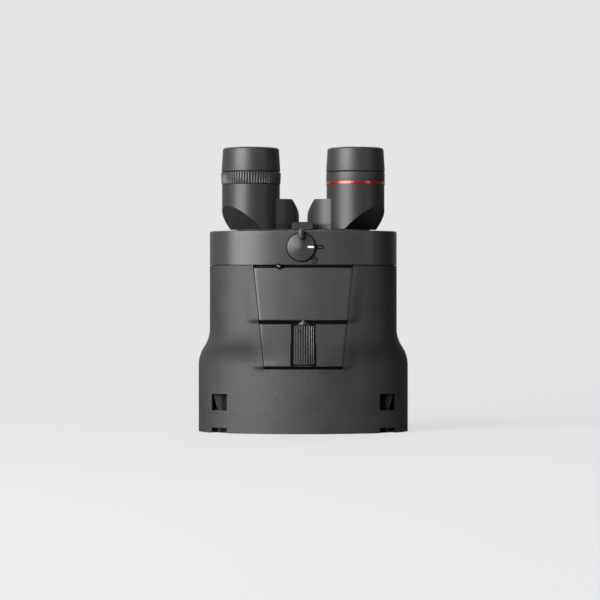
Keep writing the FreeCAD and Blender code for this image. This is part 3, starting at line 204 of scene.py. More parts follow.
def plain_metal(name, shade, rough, streak=0.0008, metallic=1.0, coat=0.0):
    """A turned metal finish with fine uneven sheen."""
    sheet = SurfaceSheet(name)
    fine = sheet.noise(streak, 2.0)
    cloud = sheet.noise(0.012, 3.0)
    colour = sheet.blend(tuple(part * 0.88 for part in shade),
                         tuple(min(1.0, part * 1.1) for part in shade), cloud)
    sheet.bump(fine, 0.00002)
    sheet.shader.inputs["Coat Weight"].default_value = coat
    sheet.shader.inputs["Coat Roughness"].default_value = 0.25
    return sheet.set(Base_Color=colour, Metallic=metallic,
                     Roughness=rough - 0.04 + fine * 0.08)


def lens_glass(name, tint, sheen):
    """Coated glass: nearly black, mirror smooth, with a faint coloured reflection."""
    sheet = SurfaceSheet(name)
    cloud = sheet.noise(0.03, 1.0)
    sheet.set(Base_Color=sheet.blend(tint, sheen, cloud), Roughness=0.03 + cloud * 0.02)
    sheet.shader.inputs["Coat Weight"].default_value = 1.0
    sheet.shader.inputs["Coat Roughness"].default_value = 0.02
    sheet.shader.inputs["Specular IOR Level"].default_value = 0.8
    sheet.shader.inputs["Specular Tint"].default_value = (0.45, 0.75, 0.62, 1.0)
    return sheet.material


def glowing(name, tone, strength):
    """A lit spot behind the lamp's lens."""
    sheet = SurfaceSheet(name)
    cloud = sheet.noise(0.0006, 1.0)
    dim = tuple(part * 0.6 for part in tone)
    sheet.set(Base_Color=sheet.blend(dim, tone, cloud), Emission_Color=sheet.blend(dim, tone, cloud))
    sheet.shader.inputs["Emission Strength"].default_value = strength
    return sheet.material


# Each finish: its name, its shade, its grain and the grain's depth in metres, its roughness.
CHARCOAL = (0.033, 0.033, 0.0345)
FINISH = {
    "armour": moulded("grip rubber", (0.025, 0.025, 0.0265), 0.00062, 0.00013, 0.56, speckle=0.45),
    # Darker, duller plastic for the deck, its block and the strap pocket walls: partly their own tone,
    # partly painted shade under the turrets and inside the recesses.
    "pocket_and_painted_shade": moulded("pocket plastic and painted shade", (0.018, 0.018, 0.019), 0.0005, 0.00002, 0.6, shine=0.3),
    "satin": moulded("sparked cover plastic", CHARCOAL, 0.0006, 0.00003, 0.36, speckle=0.22),
    "panel": moulded("smooth panel plastic", CHARCOAL, 0.0005, 0.00002, 0.42, speckle=0.2),
    # Nearly black and dull: the inner housing's own dark plastic, and also painted shade in the gaps it
    # shows through. The chips use it too.
    "housing_and_painted_shade": moulded("inner housing plastic and painted shade", (0.006, 0.006, 0.0065), 0.0004, 0.00002, 0.7, shine=0.12),
    "turret": moulded("turret paint", (0.024, 0.024, 0.025), 0.0003, 0.00001, 0.43),
    "eyecup": moulded("eyecup rubber", (0.026, 0.026, 0.027), 0.0004, 0.000014, 0.45),
    "knurl": moulded("ribbed rubber", (0.040, 0.040, 0.042), 0.0003, 0.000003, 0.29, worn=1.6),
    "aluminium": plain_metal("black anodised metal", (0.03, 0.03, 0.032), 0.38, metallic=0.6),
    "accent": plain_metal("red anodised metal", (0.62, 0.035, 0.028), 0.27, metallic=0.8, coat=0.8),
    "steel": plain_metal("turned steel", (0.55, 0.55, 0.56), 0.3),
    "brass": plain_metal("turned brass", (0.72, 0.55, 0.26), 0.3),
    "glass": lens_glass("coated glass", (0.004, 0.006, 0.012), (0.008, 0.016, 0.014)),
    "white": moulded("white mark", (0.82, 0.82, 0.82), 0.0003, 0.000004, 0.5, worn=1.0),
    # Near-black and dull: the fill of the marks and the lamp bezel, and also painted shade on the wheel
    # window's frame, the panel's step and foot strips, the dial's ring and the turret seams.
    "ink_and_painted_shade": moulded("black filling and painted shade", (0.002, 0.002, 0.002), 0.0003, 0.000004, 0.8, worn=1.0, shine=0.06),
    "board": moulded("board lacquer", (0.02, 0.10, 0.05), 0.0006, 0.00001, 0.4),
    "foil": moulded("battery sleeve", (0.20, 0.24, 0.28), 0.0006, 0.00001, 0.3),
    "nylon": moulded("gear nylon", (0.42, 0.42, 0.40), 0.0006, 0.00001, 0.5),
    "lamp": lens_glass("green lamp lens", (0.002, 0.012, 0.005), (0.003, 0.02, 0.008)),
    "glow": glowing("lamp glow", (0.02, 0.55, 0.12), 0.5),
}
SLOT_FINISH = {
    "armour_rubber": "armour", "satin_plastic": "satin", "panel_plastic": "panel",
    "housing_plastic": "housing_and_painted_shade", "turret_paint": "turret", "black_aluminium": "aluminium",
    "accent_red": "accent", "eyecup_rubber": "eyecup", "knurl_rubber": "knurl",
    "coated_glass": "glass", "prism_glass": "glass", "steel": "steel", "brass": "brass",
    "circuit_green": "board", "chip_black": "housing_and_painted_shade", "battery_foil": "foil",
    "lamp_green": "lamp", "gear_nylon": "nylon",
}
for part in frame["record"]["subparts"]:
    piece = frame["nodes"][part["node"]]
    piece.data.materials.clear()
    piece.data.materials.append(FINISH[SLOT_FINISH[part["material_slot"]]])
# The deck and its block take the darker pocket plastic, which partly paints the shade under the turrets.
OTHER_FINISH = {"top_deck": "pocket_and_painted_shade", "deck_block": "pocket_and_painted_shade", "battery_door": "panel",
                "battery_latch": "knurl", "front_frame": "satin", "tripod_bush": "aluminium"}
for name, finish in OTHER_FINISH.items():
    frame["nodes"][name].data.materials[0] = FINISH[finish]
print("finishes", len(FINISH), "on", len(frame["nodes"]), "parts")

# %% [markdown]
# ## Making shells
# The body is a superellipse that swells towards the objectives, so its skin comes from a
# formula: one ring of points per height. Round parts are profiles turned about an axis,
# with each corner of the profile rounded first, because a crisp edge without a small
# radius never catches the light.

# %% Mesh helpers
def placed(name, data):
    """A new object in the scene."""
    thing = bpy.data.objects.new(name, data)
    bpy.context.scene.collection.objects.link(thing)
    return thing


def piece_from(name, mesh, finish, body, sharp=32):
    """A mesh as a named piece with its finish, smooth apart from its sharp edges."""
    piece = placed(name, mesh)
    mesh.materials.clear()
    mesh.materials.append(FINISH[finish])
    mesh.shade_smooth()
    mesh.set_sharp_from_angle(angle=math.radians(sharp))
    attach(piece, body)
    return piece


def mesh_from(name, points, faces):
    """A clean mesh: doubled points merged and all faces turned outwards."""
    mesh = bpy.data.meshes.new(name)
    mesh.from_pydata(points, [], faces)
    mesh.validate()
    work = bmesh.new()
    work.from_mesh(mesh)
    bmesh.ops.remove_doubles(work, verts=work.verts, dist=1e-7)
    bmesh.ops.recalc_face_normals(work, faces=work.faces)
    work.to_mesh(mesh)
    work.free()
    return mesh


def grid_faces(rows, columns):
    """The faces of a grid of points that were listed row by row."""
    width = columns + 1
    return [(row * width + step, row * width + step + 1,
             (row + 1) * width + step + 1, (row + 1) * width + step)
            for row in range(rows) for step in range(columns)]


def rounded(corners, steps=4):
    """A closed profile of (x, y, round radius) corners, with its corners rounded."""
    points = []
    count = len(corners)
    for index, (x, y, radius) in enumerate(corners):
        here = Vector((x, y))
        before = Vector(corners[index - 1][:2])
        after = Vector(corners[(index + 1) % count][:2])
        if radius <= 0:
            points.append(tuple(here))
            continue
        to_before = (before - here).normalized()
        to_after = (after - here).normalized()
        half = to_before.angle(to_after) / 2
        reach = min(radius / math.tan(half), (before - here).length * 0.49,
                    (after - here).length * 0.49)
        start = here + to_before * reach
        end = here + to_after * reach
        for step in range(steps + 1):
            share = step / steps
            points.append(tuple(start.lerp(here, share).lerp(here.lerp(end, share), share)))
    return points


def lathe(name, profile, at, segments=160, ribs=None):
    """A closed (radius, height) profile turned about a vertical axis.
    ribs(angle, radius, height) may give a radius of its own at each point."""
    points = []
    for turn in range(segments):
        angle = 2 * math.pi * turn / segments
        for radius, height in profile:
            if ribs:
                radius = ribs(angle, radius, height)
            points.append((at[0] + radius * math.cos(angle), at[1] + radius * math.sin(angle), height))
    size = len(profile)
    faces = [(turn * size + step, ((turn + 1) % segments) * size + step,
              ((turn + 1) % segments) * size + (step + 1) % size, turn * size + (step + 1) % size)
             for turn in range(segments) for step in range(size)]
    return mesh_from(name, points, faces)


def settle(piece):
    """Turn the piece's modifiers into its own mesh."""
    graph = bpy.context.evaluated_depsgraph_get()
    mesh = bpy.data.meshes.new_from_object(piece.evaluated_get(graph))
    piece.modifiers.clear()
    piece.data = mesh
    return mesh


def cut_away(mesh, cutters):
    """The mesh less some closed cutter meshes."""
    piece = placed("work", mesh)
    tools = []
    for cutter in cutters:
        tool = placed("tool", cutter)
        tools.append(tool)
        step = piece.modifiers.new("cut", "BOOLEAN")
        step.operation = "DIFFERENCE"
        step.solver = "EXACT"
        step.object = tool
    result = settle(piece)
    for item in tools + [piece]:
        bpy.data.objects.remove(item)
    return result


def block(low, high):
    """A closed box mesh between two corners."""
    points = [(x, y, z) for x in (low[0], high[0]) for y in (low[1], high[1]) for z in (low[2], high[2])]
    faces = [(0, 1, 3, 2), (4, 6, 7, 5), (0, 4, 5, 1), (2, 3, 7, 6), (0, 2, 6, 4), (1, 5, 7, 3)]
    return mesh_from("block", points, faces)


def rod(start, end, radius, segments=48):
    """A closed round bar between two points."""
    axis = (Vector(end) - Vector(start)).normalized()
    side = axis.orthogonal().normalized()
    other = axis.cross(side)
    ring = [side * math.cos(2 * math.pi * n / segments) + other * math.sin(2 * math.pi * n / segments)
            for n in range(segments)]
    points = [tuple(Vector(start) + spoke * radius) for spoke in ring]
    points += [tuple(Vector(end) + spoke * radius) for spoke in ring]
    faces = [(n, (n + 1) % segments, segments + (n + 1) % segments, segments + n)
             for n in range(segments)]
    faces += [tuple(reversed(range(segments))), tuple(range(segments, 2 * segments))]
    return mesh_from("rod", points, faces)


# %% [markdown]
# ## The body's outline
# Seen along the axes, the objective end is nearly an ellipse and the waist is squarer.
# The swelling between them is an S of two arcs. `skin_point` gives the skin's place for
# any direction and height, which every shell below is made from.

# %% Outline of the body
SKIN_LOW, SKIN_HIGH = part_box("rubber_armour")
HEAD_LOW, HEAD_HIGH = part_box("head_cover")
BASE_HALF = (SKIN_HIGH[0], 35.8 * MM)
WAIST_HALF = (HEAD_HIGH[0], 36.6 * MM)
HEAD_HALF = (HEAD_HIGH[0], HEAD_HIGH[1])
BASE_SQUARE = 1.9
WAIST_SQUARE = 2.8
FLARE_LOW = 41.5 * MM
FLARE_HIGH = 64.0 * MM


def flare(height):
    """0 at the objective end and 1 at the waist, along two tangent arcs."""
    share = min(max((height - FLARE_LOW) / (FLARE_HIGH - FLARE_LOW), 0.0), 1.0)
    rise = FLARE_HIGH - FLARE_LOW
    step = BASE_HALF[0] - WAIST_HALF[0]
    radius = rise / (2 * math.sin(2 * math.atan2(step, rise)))
    near = min(share, 1 - share) * rise
    drop = (radius - math.sqrt(radius ** 2 - near ** 2)) / step
    return drop if share < 0.5 else 1 - drop


def superellipse(half, square, angle, inset=0.0):
    """A point of the outline and its outward normal, for a direction in radians."""
    cosine = math.cos(angle)
    sine = math.sin(angle)
    reach = (abs(cosine) ** square + abs(sine) ** square) ** (-1 / square)
    east = reach * cosine
    north = reach * sine
    normal = Vector((math.copysign(abs(east) ** (square - 1), cosine) / half[0],
                     math.copysign(abs(north) ** (square - 1), sine) / half[1])).normalized()
    return Vector((half[0] * east, half[1] * north)) - normal * inset, normal


def body_section(height):
    """Half sizes and squareness of the body's outline at a height."""
    share = flare(height)
    half = tuple(base + (waist - base) * share for base, waist in zip(BASE_HALF, WAIST_HALF))
    return half, BASE_SQUARE + (WAIST_SQUARE - BASE_SQUARE) * share


def front_of(half, square, x):
    """Depth of an outline's front at a place across, always towards -Y."""
    return -half[1] * (1 - min(abs(x) / half[0], 1.0) ** square) ** (1 / square)


def angle_at(half, square, x):
    """The direction whose outline point lies at x on the front."""
    return math.atan2(front_of(half, square, x) / half[1], x / half[0])


print("body", BASE_HALF, WAIST_HALF, "head", HEAD_HALF)

# %% [markdown]
# ## Grip rubber
# The real grip is one sleeve of grained rubber, 1.6 mm thick, with a tapering window for
# the smooth panels. Next to the window it swells to meet each panel's edge and then fades
# back, so the step between the panels runs on for a little way into the rubber. A box
# with cuts could not do that. A grid that follows the window's edge can, and it keeps the
# edge clean; the strap windows, the foot notches, the battery door and the tripod bush
# are then cut out of it.

# %% Front profile shared by the sleeve and the panels
PANEL_TOP = 100.9 * MM
PANEL_STEP = 69.2 * MM
STEP_FOOT = 67.5 * MM
LOWER_TOP = 66.7 * MM
LOW_EDGE = 41.0 * MM
PANEL_FOOT = 39.2 * MM
PANEL_HALF_TOP = 30.6 * MM
PANEL_HALF_FOOT = 24.1 * MM
FADE = 8.5 * MM
STEP_DEPTH = 38.2 * MM
TOP_DEPTH = 36.9 * MM
LOWER_DEPTH = 36.9 * MM


def panel_half(height):
    """Half the window's width at a height."""
    lean = (PANEL_HALF_TOP - PANEL_HALF_FOOT) / (HEAD_LOW[2] - PANEL_FOOT)
    return PANEL_HALF_FOOT + lean * (max(height, PANEL_FOOT) - PANEL_FOOT)


def front_depth(height):
    """Depth of the front on the centre line: proud upper panel, step, lower panel, foot."""
    half, square = body_section(height)
    if height >= PANEL_STEP:
        share = (height - PANEL_STEP) / (PANEL_TOP - PANEL_STEP)
        return STEP_DEPTH + (TOP_DEPTH - STEP_DEPTH) * min(share, 1.0)
    if height >= STEP_FOOT:
        share = (height - STEP_FOOT) / (PANEL_STEP - STEP_FOOT)
        return LOWER_DEPTH + (STEP_DEPTH - LOWER_DEPTH) * share
    if height >= LOW_EDGE:
        return LOWER_DEPTH
    share = min(max((LOW_EDGE - height) / (LOW_EDGE - PANEL_FOOT), 0.0), 1.0)
    return LOWER_DEPTH + (half[1] - LOWER_DEPTH) * share


def ease(share):
    """A smooth start and stop between 0 and 1."""
    share = min(max(share, 0.0), 1.0)
    return share * share * (3 - 2 * share)


def skin_point(height, angle):
    """The sleeve's outer face for a direction and a height."""
    half, square = body_section(height)
    spot, normal = superellipse(half, square, angle)
    swell = 0.0
    if spot.y < 0:
        beyond = abs(spot.x) - panel_half(height)
        swell = (front_depth(height) - half[1]) * (1 - ease(beyond / FADE))
    return (spot.x, spot.y - swell, height)


print("window", round(2 * PANEL_HALF_TOP / MM, 1), "mm wide at its top")

# %% [markdown]
# The sleeve is a grid of points, level by level. Its two side edges are the window's own
# edges, so no face is cut there; below the window a second, narrower grid closes the
# front. The skin is made first and given its wall afterwards, which keeps the wall even.

# %% Sleeve grid
def heights_between(low, high, steps):
    """Evenly spaced heights, both ends included."""
    return [low + (high - low) * step / steps for step in range(steps + 1)]


SLEEVE_TOP = SKIN_HIGH[2] - 0.25 * MM
SLEEVE_LOW = SKIN_LOW[2]
LEVELS = (heights_between(SLEEVE_LOW, SLEEVE_LOW + 0.6 * MM, 2)[:-1]
          + heights_between(SLEEVE_LOW + 0.6 * MM, PANEL_FOOT, 24)[:-1]
          + heights_between(PANEL_FOOT, LOW_EDGE, 6)[:-1]
          + heights_between(LOW_EDGE, STEP_FOOT, 36)[:-1]
          + heights_between(STEP_FOOT, PANEL_STEP, 8)[:-1]
          + heights_between(PANEL_STEP, SLEEVE_TOP - 0.6 * MM, 20)[:-1]
          + heights_between(SLEEVE_TOP - 0.6 * MM, SLEEVE_TOP, 2))
AROUND = 260
ACROSS = 40
WALL = 1.6 * MM


def sleeve_mesh():
    """Outer skin as one grid round the back, closed across the front below the window."""
    points = []
    for height in LEVELS:
        half, square = body_section(height)
        edge = panel_half(height)
        start = angle_at(half, square, edge)
        turn = 2 * math.pi - (angle_at(half, square, edge) - angle_at(half, square, -edge)) % (2 * math.pi)
        for step in range(AROUND + 1):
            points.append(skin_point(height, start + turn * step / AROUND))
    faces = grid_faces(len(LEVELS) - 1, AROUND)
    rows = [row for row, height in enumerate(LEVELS) if height <= PANEL_FOOT + 1e-6]
    patch = {}
    for row in rows:
        half, square = body_section(LEVELS[row])
        edge = panel_half(LEVELS[row])
        for step in range(1, ACROSS):
            across = -edge + 2 * edge * step / ACROSS
            angle = angle_at(half, square, across)
            patch[row, step] = len(points)
            points.append(skin_point(LEVELS[row], angle))
        patch[row, 0] = row * (AROUND + 1) + AROUND
        patch[row, ACROSS] = row * (AROUND + 1)
    for row in rows[:-1]:
        for step in range(ACROSS):
            faces.append((patch[row, step], patch[row, step + 1],
                          patch[row + 1, step + 1], patch[row + 1, step]))
    return mesh_from("sleeve", points, faces)


def thickened(mesh, wall):
    """A skin given its wall thickness inwards."""
    piece = placed("work", mesh)
    step = piece.modifiers.new("wall", "SOLIDIFY")
    step.thickness = wall
    step.offset = -1
    result = settle(piece)
    bpy.data.objects.remove(piece)
    return result


def front_shell(name, points, rows, columns, wall):
    """A grid of points as a shell whose outer face looks towards -Y."""
    mesh = mesh_from(name, points, grid_faces(rows, columns))
    if mesh.polygons[0].normal.y > 0:
        mesh.flip_normals()
    return thickened(mesh, wall)


STRAP_LOW, STRAP_HIGH = 13.9 * MM, 24.1 * MM
STRAP_INNER, STRAP_OUTER = 46.7 * MM, 56.1 * MM
NOTCH_TOP = 3.3 * MM
NOTCH_MIDDLE = 51.6 * MM
DIVIDER = 0.22 * MM
DOOR_ROOM_TOP = 64.2 * MM
CUT_FRONT = -0.05
CUT_BACK = 0.05
front_cutters = []
for side in (-1, 1):
    left, right = sorted((side * STRAP_INNER, side * STRAP_OUTER))
    front_cutters.append(block((left, CUT_FRONT, STRAP_LOW), (right, -0.008, STRAP_HIGH)))
    middle = side * NOTCH_MIDDLE
    for start, end in ((left, middle - DIVIDER), (middle + DIVIDER, right)):
        front_cutters.append(block((start, CUT_FRONT, -0.002), (end, -0.008, NOTCH_TOP)))
door_low, door_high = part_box("battery_door")
bush_low, bush_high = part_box("tripod_bush")
SEAM = 0.35 * MM
back_cutters = [
    block((door_low[0] - SEAM, 0.02, door_low[2] - SEAM),
          (door_high[0] + SEAM, CUT_BACK, DOOR_ROOM_TOP)),
    rod(((bush_low[0] + bush_high[0]) / 2, 0.02, (bush_low[2] + bush_high[2]) / 2),
        ((bush_low[0] + bush_high[0]) / 2, CUT_BACK, (bush_low[2] + bush_high[2]) / 2),
        (bush_high[0] - bush_low[0]) / 2 + 0.05 * MM)]
sleeve = cut_away(thickened(sleeve_mesh(), WALL), front_cutters + back_cutters)
armour = piece_from("grip_sleeve", sleeve, "armour", "chassis", sharp=38)
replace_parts(armour, "rubber_armour")
print("sleeve faces", len(sleeve.polygons))

# %% [markdown]
# ## Smooth panels
# Two panels fill the window: the upper one leans out towards its lower edge, the lower one
# carries the focus wheel. Each is a thin shell with its own rim, so a hairline seam shows
# all round it.

# %% Panels
RIM = 0.45 * MM
ROUND = 0.25 * MM


def panel_mesh(low, high, front, wall, columns=72, rows=28):
    """A curved plate between two heights that follows the tapering window.
    front(x, height) is the depth of its face; the face rolls back at its outer edges."""
    points = []
    levels = heights_between(low, high, rows)
    levels = sorted(set(levels + [low + ROUND * part for part in (0.25, 0.55, 1.0)]
                        + [high - ROUND * part for part in (0.25, 0.55, 1.0)]))
    spans = [-1 + 2 * step / columns for step in range(columns + 1)]
    for height in levels:
        half = panel_half(height) - RIM
        for span in spans:
            x = half * span
            near = min(half - abs(x), height - low, high - height)
            roll = ROUND * (1 - math.sqrt(max(0.0, 1 - (1 - min(near / ROUND, 1.0)) ** 2)))
            points.append((x, front(x, height) + roll, height))
    return front_shell("panel", points, len(levels) - 1, columns, wall)


def upper_front(x, height):
    """Depth of the panels' face: an even crown that meets the sleeve at the window's edge."""
    half, square = body_section(height)
    edge = panel_half(height)
    drop = half[1] + front_of(half, square, edge)
    return drop * (x / edge) ** 2 - front_depth(height)


def lower_front(x, height):
    """The lower panel lies a hair deeper than the sleeve, so its seam reads."""
    return upper_front(x, height) + 0.02 * MM


upper = panel_mesh(PANEL_STEP, PANEL_TOP, upper_front, 1.2 * MM)
light_low, light_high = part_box("led_bezel")
LIGHT = ((light_low[0] + light_high[0]) / 2, (light_low[2] + light_high[2]) / 2)
LIGHT_RADIUS = (light_high[0] - light_low[0]) / 2
light_room = rod((LIGHT[0], CUT_FRONT, LIGHT[1]), (LIGHT[0], -0.03, LIGHT[1]),
                 LIGHT_RADIUS + 0.05 * MM)
upper = piece_from("upper_cover", cut_away(upper, [light_room]), "panel", "chassis")
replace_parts(upper, "upper_panel")

wheel_low, wheel_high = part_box("focus_wheel")
WINDOW_HALF = 7.5 * MM
WINDOW_AIR = 0.45 * MM
lower = panel_mesh(LOW_EDGE + 0.1 * MM, LOWER_TOP, lower_front, 1.4 * MM)
wheel_room = block((-WINDOW_HALF, CUT_FRONT, wheel_low[2] - WINDOW_AIR),
                   (WINDOW_HALF, -0.03, wheel_high[2] + WINDOW_AIR))
lower = piece_from("lower_cover", cut_away(lower, [wheel_room]), "panel", "chassis")
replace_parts(lower, "lower_panel")

# A near-black frame inside the wheel's window paints the shade where the wheel curves away behind the
# panel.
WINDOW_SHADE_HALF = 6.45 * MM
WINDOW_SHADE_FRONT = -36.72 * MM
window_shade = cut_away(block((-WINDOW_HALF - 0.4 * MM, WINDOW_SHADE_FRONT, wheel_low[2] - 0.7 * MM),
                       (WINDOW_HALF + 0.4 * MM, WINDOW_SHADE_FRONT + 0.5 * MM, wheel_high[2] + 0.7 * MM)),
                 [block((-WINDOW_SHADE_HALF, CUT_FRONT, wheel_low[2] + 0.35 * MM),
                        (WINDOW_SHADE_HALF, -0.03, wheel_high[2] - 0.1 * MM))])
piece_from("wheel_window_shade", window_shade, "ink_and_painted_shade", "chassis")


def strip_mesh(name, low, high, points_at, columns=60, rows=8, wall=1.0 * MM):
    """A thin strip across the window between two heights."""
    points = []
    for height in heights_between(low, high, rows):
        half = panel_half(height) - 0.02 * MM
        for step in range(columns + 1):
            x = -half + 2 * half * step / columns
            points.append((x, points_at(x, height), height))
    return front_shell(name, points, rows, columns, wall)


# Black strips at the panel step and at the panels' foot paint the shade of the undercut step and of the
# foot's recess.
shelf = strip_mesh("shelf", LOWER_TOP, PANEL_STEP - 0.05 * MM,
                   lambda x, height: -LOWER_DEPTH + upper_front(x, height) + front_depth(height)
                   + 0.5 * MM)
piece_from("panel_step", shelf, "ink_and_painted_shade", "chassis")
foot = strip_mesh("foot", PANEL_FOOT + 0.5 * MM, LOW_EDGE,
                  lambda x, height: upper_front(x, height) + 0.3 * MM)
piece_from("panel_foot", foot, "ink_and_painted_shade", "chassis")
print("panels made, step", round((STEP_DEPTH - LOWER_DEPTH) / MM, 2), "mm")

# %% [markdown]
# ## Eyepieces
# Everything on an eyepiece is turned about its axis, so each piece is a lathe profile with
# rounded corners. The left ring sets the dioptre and is ribbed; the right one is smooth
# above a bright red band. The eyecup leans in slightly, ends in a soft rim and shows a thin
# dark groove under its lower edge.

# %% Eyepiece places
def axis_of(node):
    """The vertical axis of a round part, from its box."""
    low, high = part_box(node)
    return ((low[0] + high[0]) / 2, (low[1] + high[1]) / 2)


def turned_piece(name, node, corners, finish, body, ribs=None, segments=192, steps=4, sharp=28):
    """A lathed piece that stands for one CAD node."""
    mesh = lathe(name, rounded([(r * MM, z * MM, round_ * MM) for r, z, round_ in corners], steps),
                 axis_of(node), segments, ribs)
    piece = piece_from(name, mesh, finish, body, sharp)
    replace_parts(piece, node)
    return piece


CUP_LOW, CUP_HIGH = 160.35, 175.3
CUP_CORNERS = [(16.9, CUP_LOW, 0.1), (17.75, CUP_LOW, 0.1), (18.1, CUP_LOW + 0.45, 0.3),
               (17.3, CUP_HIGH - 0.9, 1.6), (16.1, CUP_HIGH - 0.05, 1.2), (15.2, CUP_HIGH, 0.5),
               (14.6, CUP_HIGH - 0.8, 0.5), (14.6, 172.0, 0.2), (15.6, 171.6, 0.2),
               (16.9, 171.0, 0.1)]
for side, word in (("l", "left"), ("r", "right")):
    turned_piece("eyecup_skin_" + side, "eyecup_" + side, CUP_CORNERS, "eyecup",
                 "eyecup_" + word)
print("eyecups", CUP_HIGH - CUP_LOW, "mm tall")

# %% Dioptre ring
RIBS = 66
RIB_DEEP = 0.65


def rib_wave(angle, count, sharpness=2.4):
    """0 on a rib's crown and 1 in the groove between two ribs."""
    return (0.5 - 0.5 * math.cos(angle * count)) ** sharpness


RIB_FOOT, RIB_HEAD = 153.05, 159.55


def dioptre_ribs(angle, radius, height):
    """The ring's radius, cut in at the grooves of its ribbed band."""
    outside = radius > 17.6 * MM and RIB_FOOT * MM < height < RIB_HEAD * MM
    return radius - RIB_DEEP * MM * rib_wave(angle, RIBS) if outside else radius


turned_piece("ribbed_dioptre_ring", "dioptre_ring",
             [(15.55, 152.6, 0.1), (17.7, 152.6, 0.2), (18.1, 153.0, 0.1), (18.15, 153.1, 0.0),
              (18.45, 159.5, 0.0), (18.4, 159.6, 0.1), (18.1, 160.0, 0.2), (15.55, 160.0, 0.1)],
             "knurl", "dioptre_ring", dioptre_ribs, segments=RIBS * 12, steps=3, sharp=50)
print("dioptre ring ribs", RIBS)

# %% [markdown]
# On the right eyepiece the ring doesn't turn. It is plain, and the metal band under it is
# anodised a bright red, the one strong colour on the object, so it is a piece of its own.

# %% Right ring and red band
BAND_FOOT, BAND_HEAD = 152.4, 154.2
turned_piece("smooth_ring", "plain_ring",
             [(15.5, BAND_HEAD, 0.05), (18.05, BAND_HEAD, 0.15), (18.05, 160.0, 0.4), (15.5, 160.0, 0.1)],
             "eyecup", "turret_right")
turned_piece("red_band", "accent_ring",
             [(15.5, BAND_FOOT, 0.05), (18.05, BAND_FOOT, 0.15), (18.15, 152.75, 0.2),
              (18.15, 153.85, 0.2), (18.05, BAND_HEAD, 0.1), (15.5, BAND_HEAD, 0.05)],
             "accent", "turret_right")
print("red band", round(BAND_HEAD - BAND_FOOT, 2), "mm tall")


# %% [markdown]
# ## Focus wheel
# The wheel shows through its window in the lower panel. Its ribs run along the axis with
# flat crowns and narrow round grooves, which catch one bright line each.

# %% Focus wheel
WHEEL_RIBS = 42
WHEEL_DEEP = 1.0
wheel_radius = (wheel_high[0] - wheel_low[0]) / 2


def wheel_ribs(angle, radius, height):
    """The wheel's radius, cut in at the grooves between its two plain lips."""
    inside = wheel_low[2] + 0.7 * MM < height < wheel_high[2] - 0.7 * MM
    if inside and radius > wheel_radius - 0.6 * MM:
        return radius - WHEEL_DEEP * MM * rib_wave(angle, WHEEL_RIBS, 1.5)
    return radius


rim = wheel_radius / MM
foot_z, head_z = wheel_low[2] / MM, wheel_high[2] / MM
turned_piece("ribbed_focus_wheel", "focus_wheel",
             [(3.05, foot_z, 0.1), (rim - 1.1, foot_z, 0.3), (rim - 0.35, foot_z + 0.6, 0.2),
              (rim, foot_z + 0.8, 0.0), (rim, head_z - 0.8, 0.0), (rim - 0.35, head_z - 0.6, 0.2),
              (rim - 1.1, head_z, 0.3), (3.05, head_z, 0.1)],
             "knurl", "focus_drive", wheel_ribs, segments=WHEEL_RIBS * 12, steps=3,
             sharp=50)
print("wheel radius", round(rim, 2), "mm")


# %% [markdown]
# A small moulded nib stands on the step over the wheel's middle, widest at its foot. It
# could be a plain half cone, but it grows out of the panel, so its edges follow the
# panel's curve and only its crown stands out.

# %% Nib above the wheel
def nib_mesh(columns=24, rows=10):
    """A half cone over the wheel's middle, with its wide end down."""
    low, high, reach = LOWER_TOP, NIB_TOP, NIB_HALF
    points = []
    for row in range(rows + 1):
        share = row / rows
        height = low + (high - low) * share
        half = reach * (1 - share) + 0.35 * MM * share
        for step in range(columns + 1):
            x = half * (2 * step / columns - 1)
            base = upper_front(x, height) + 0.3 * MM
            crown = 1 - abs(x / half) ** 1.4
            points.append((x, base + (NIB_FRONT - base) * crown, height))
    return front_shell("nib", points, rows, columns, 0.5 * MM)


NIB_FRONT = -38.45 * MM
NIB_TOP = 69.35 * MM
NIB_HALF = 3.7 * MM
piece_from("wheel_nib", nib_mesh(), "panel", "chassis", sharp=50)
print("nib", round(2 * NIB_HALF / MM, 2), "mm wide")


# %% [markdown]
# ## Power dial
# The dial is a shallow disc that rises to a low cone at its middle, in a thin black ring that
# paints the shade of the gap round it. A lever fin stands up over its upper edge and runs down
# past the centre as a low ramp with a round end, and a short white dash marks its setting. The
# disc and the black ring are turned; the fin and the dash are flat outlines given depth, because their
# ends are round in plan.

# %% Power dial
dial_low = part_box("power_dial")[0]
DIAL = (-1.35 * MM, 113.6 * MM)
DIAL_RADIUS = 8.9 * MM
DIAL_BACK = -38.4 * MM
DIAL_FRONT = -41.0 * MM
FRONTWARD = Matrix.Rotation(math.radians(90), 4, "X")


def facing_front(mesh, at, depth):
    """Turn a mesh lathed about +Z so that its top faces -Y, at a place (x, z) and a depth."""
    mesh.transform(Matrix.Translation((at[0], depth, at[1])) @ FRONTWARD)
    return mesh


DISC_RADIUS = DIAL_RADIUS - 0.5 * MM
CONE_RIM = 1.2 * MM
CONE_RISE = 1.2 * MM


def cone_front(x, z):
    """Depth of the dial's conical face."""
    away = min(math.hypot(x - DIAL[0], z - DIAL[1]) / DISC_RADIUS, 1.0)
    return DIAL_BACK - CONE_RIM - CONE_RISE * (1 - away)


cone = [(0.0, 0.0, 0.0), (DISC_RADIUS, 0.0, 0.1 * MM), (DISC_RADIUS, CONE_RIM, 0.15 * MM),
        (0.8 * MM, CONE_RIM + CONE_RISE * 0.92, 0.8 * MM), (0.0, CONE_RIM + CONE_RISE * 0.94, 0.0)]
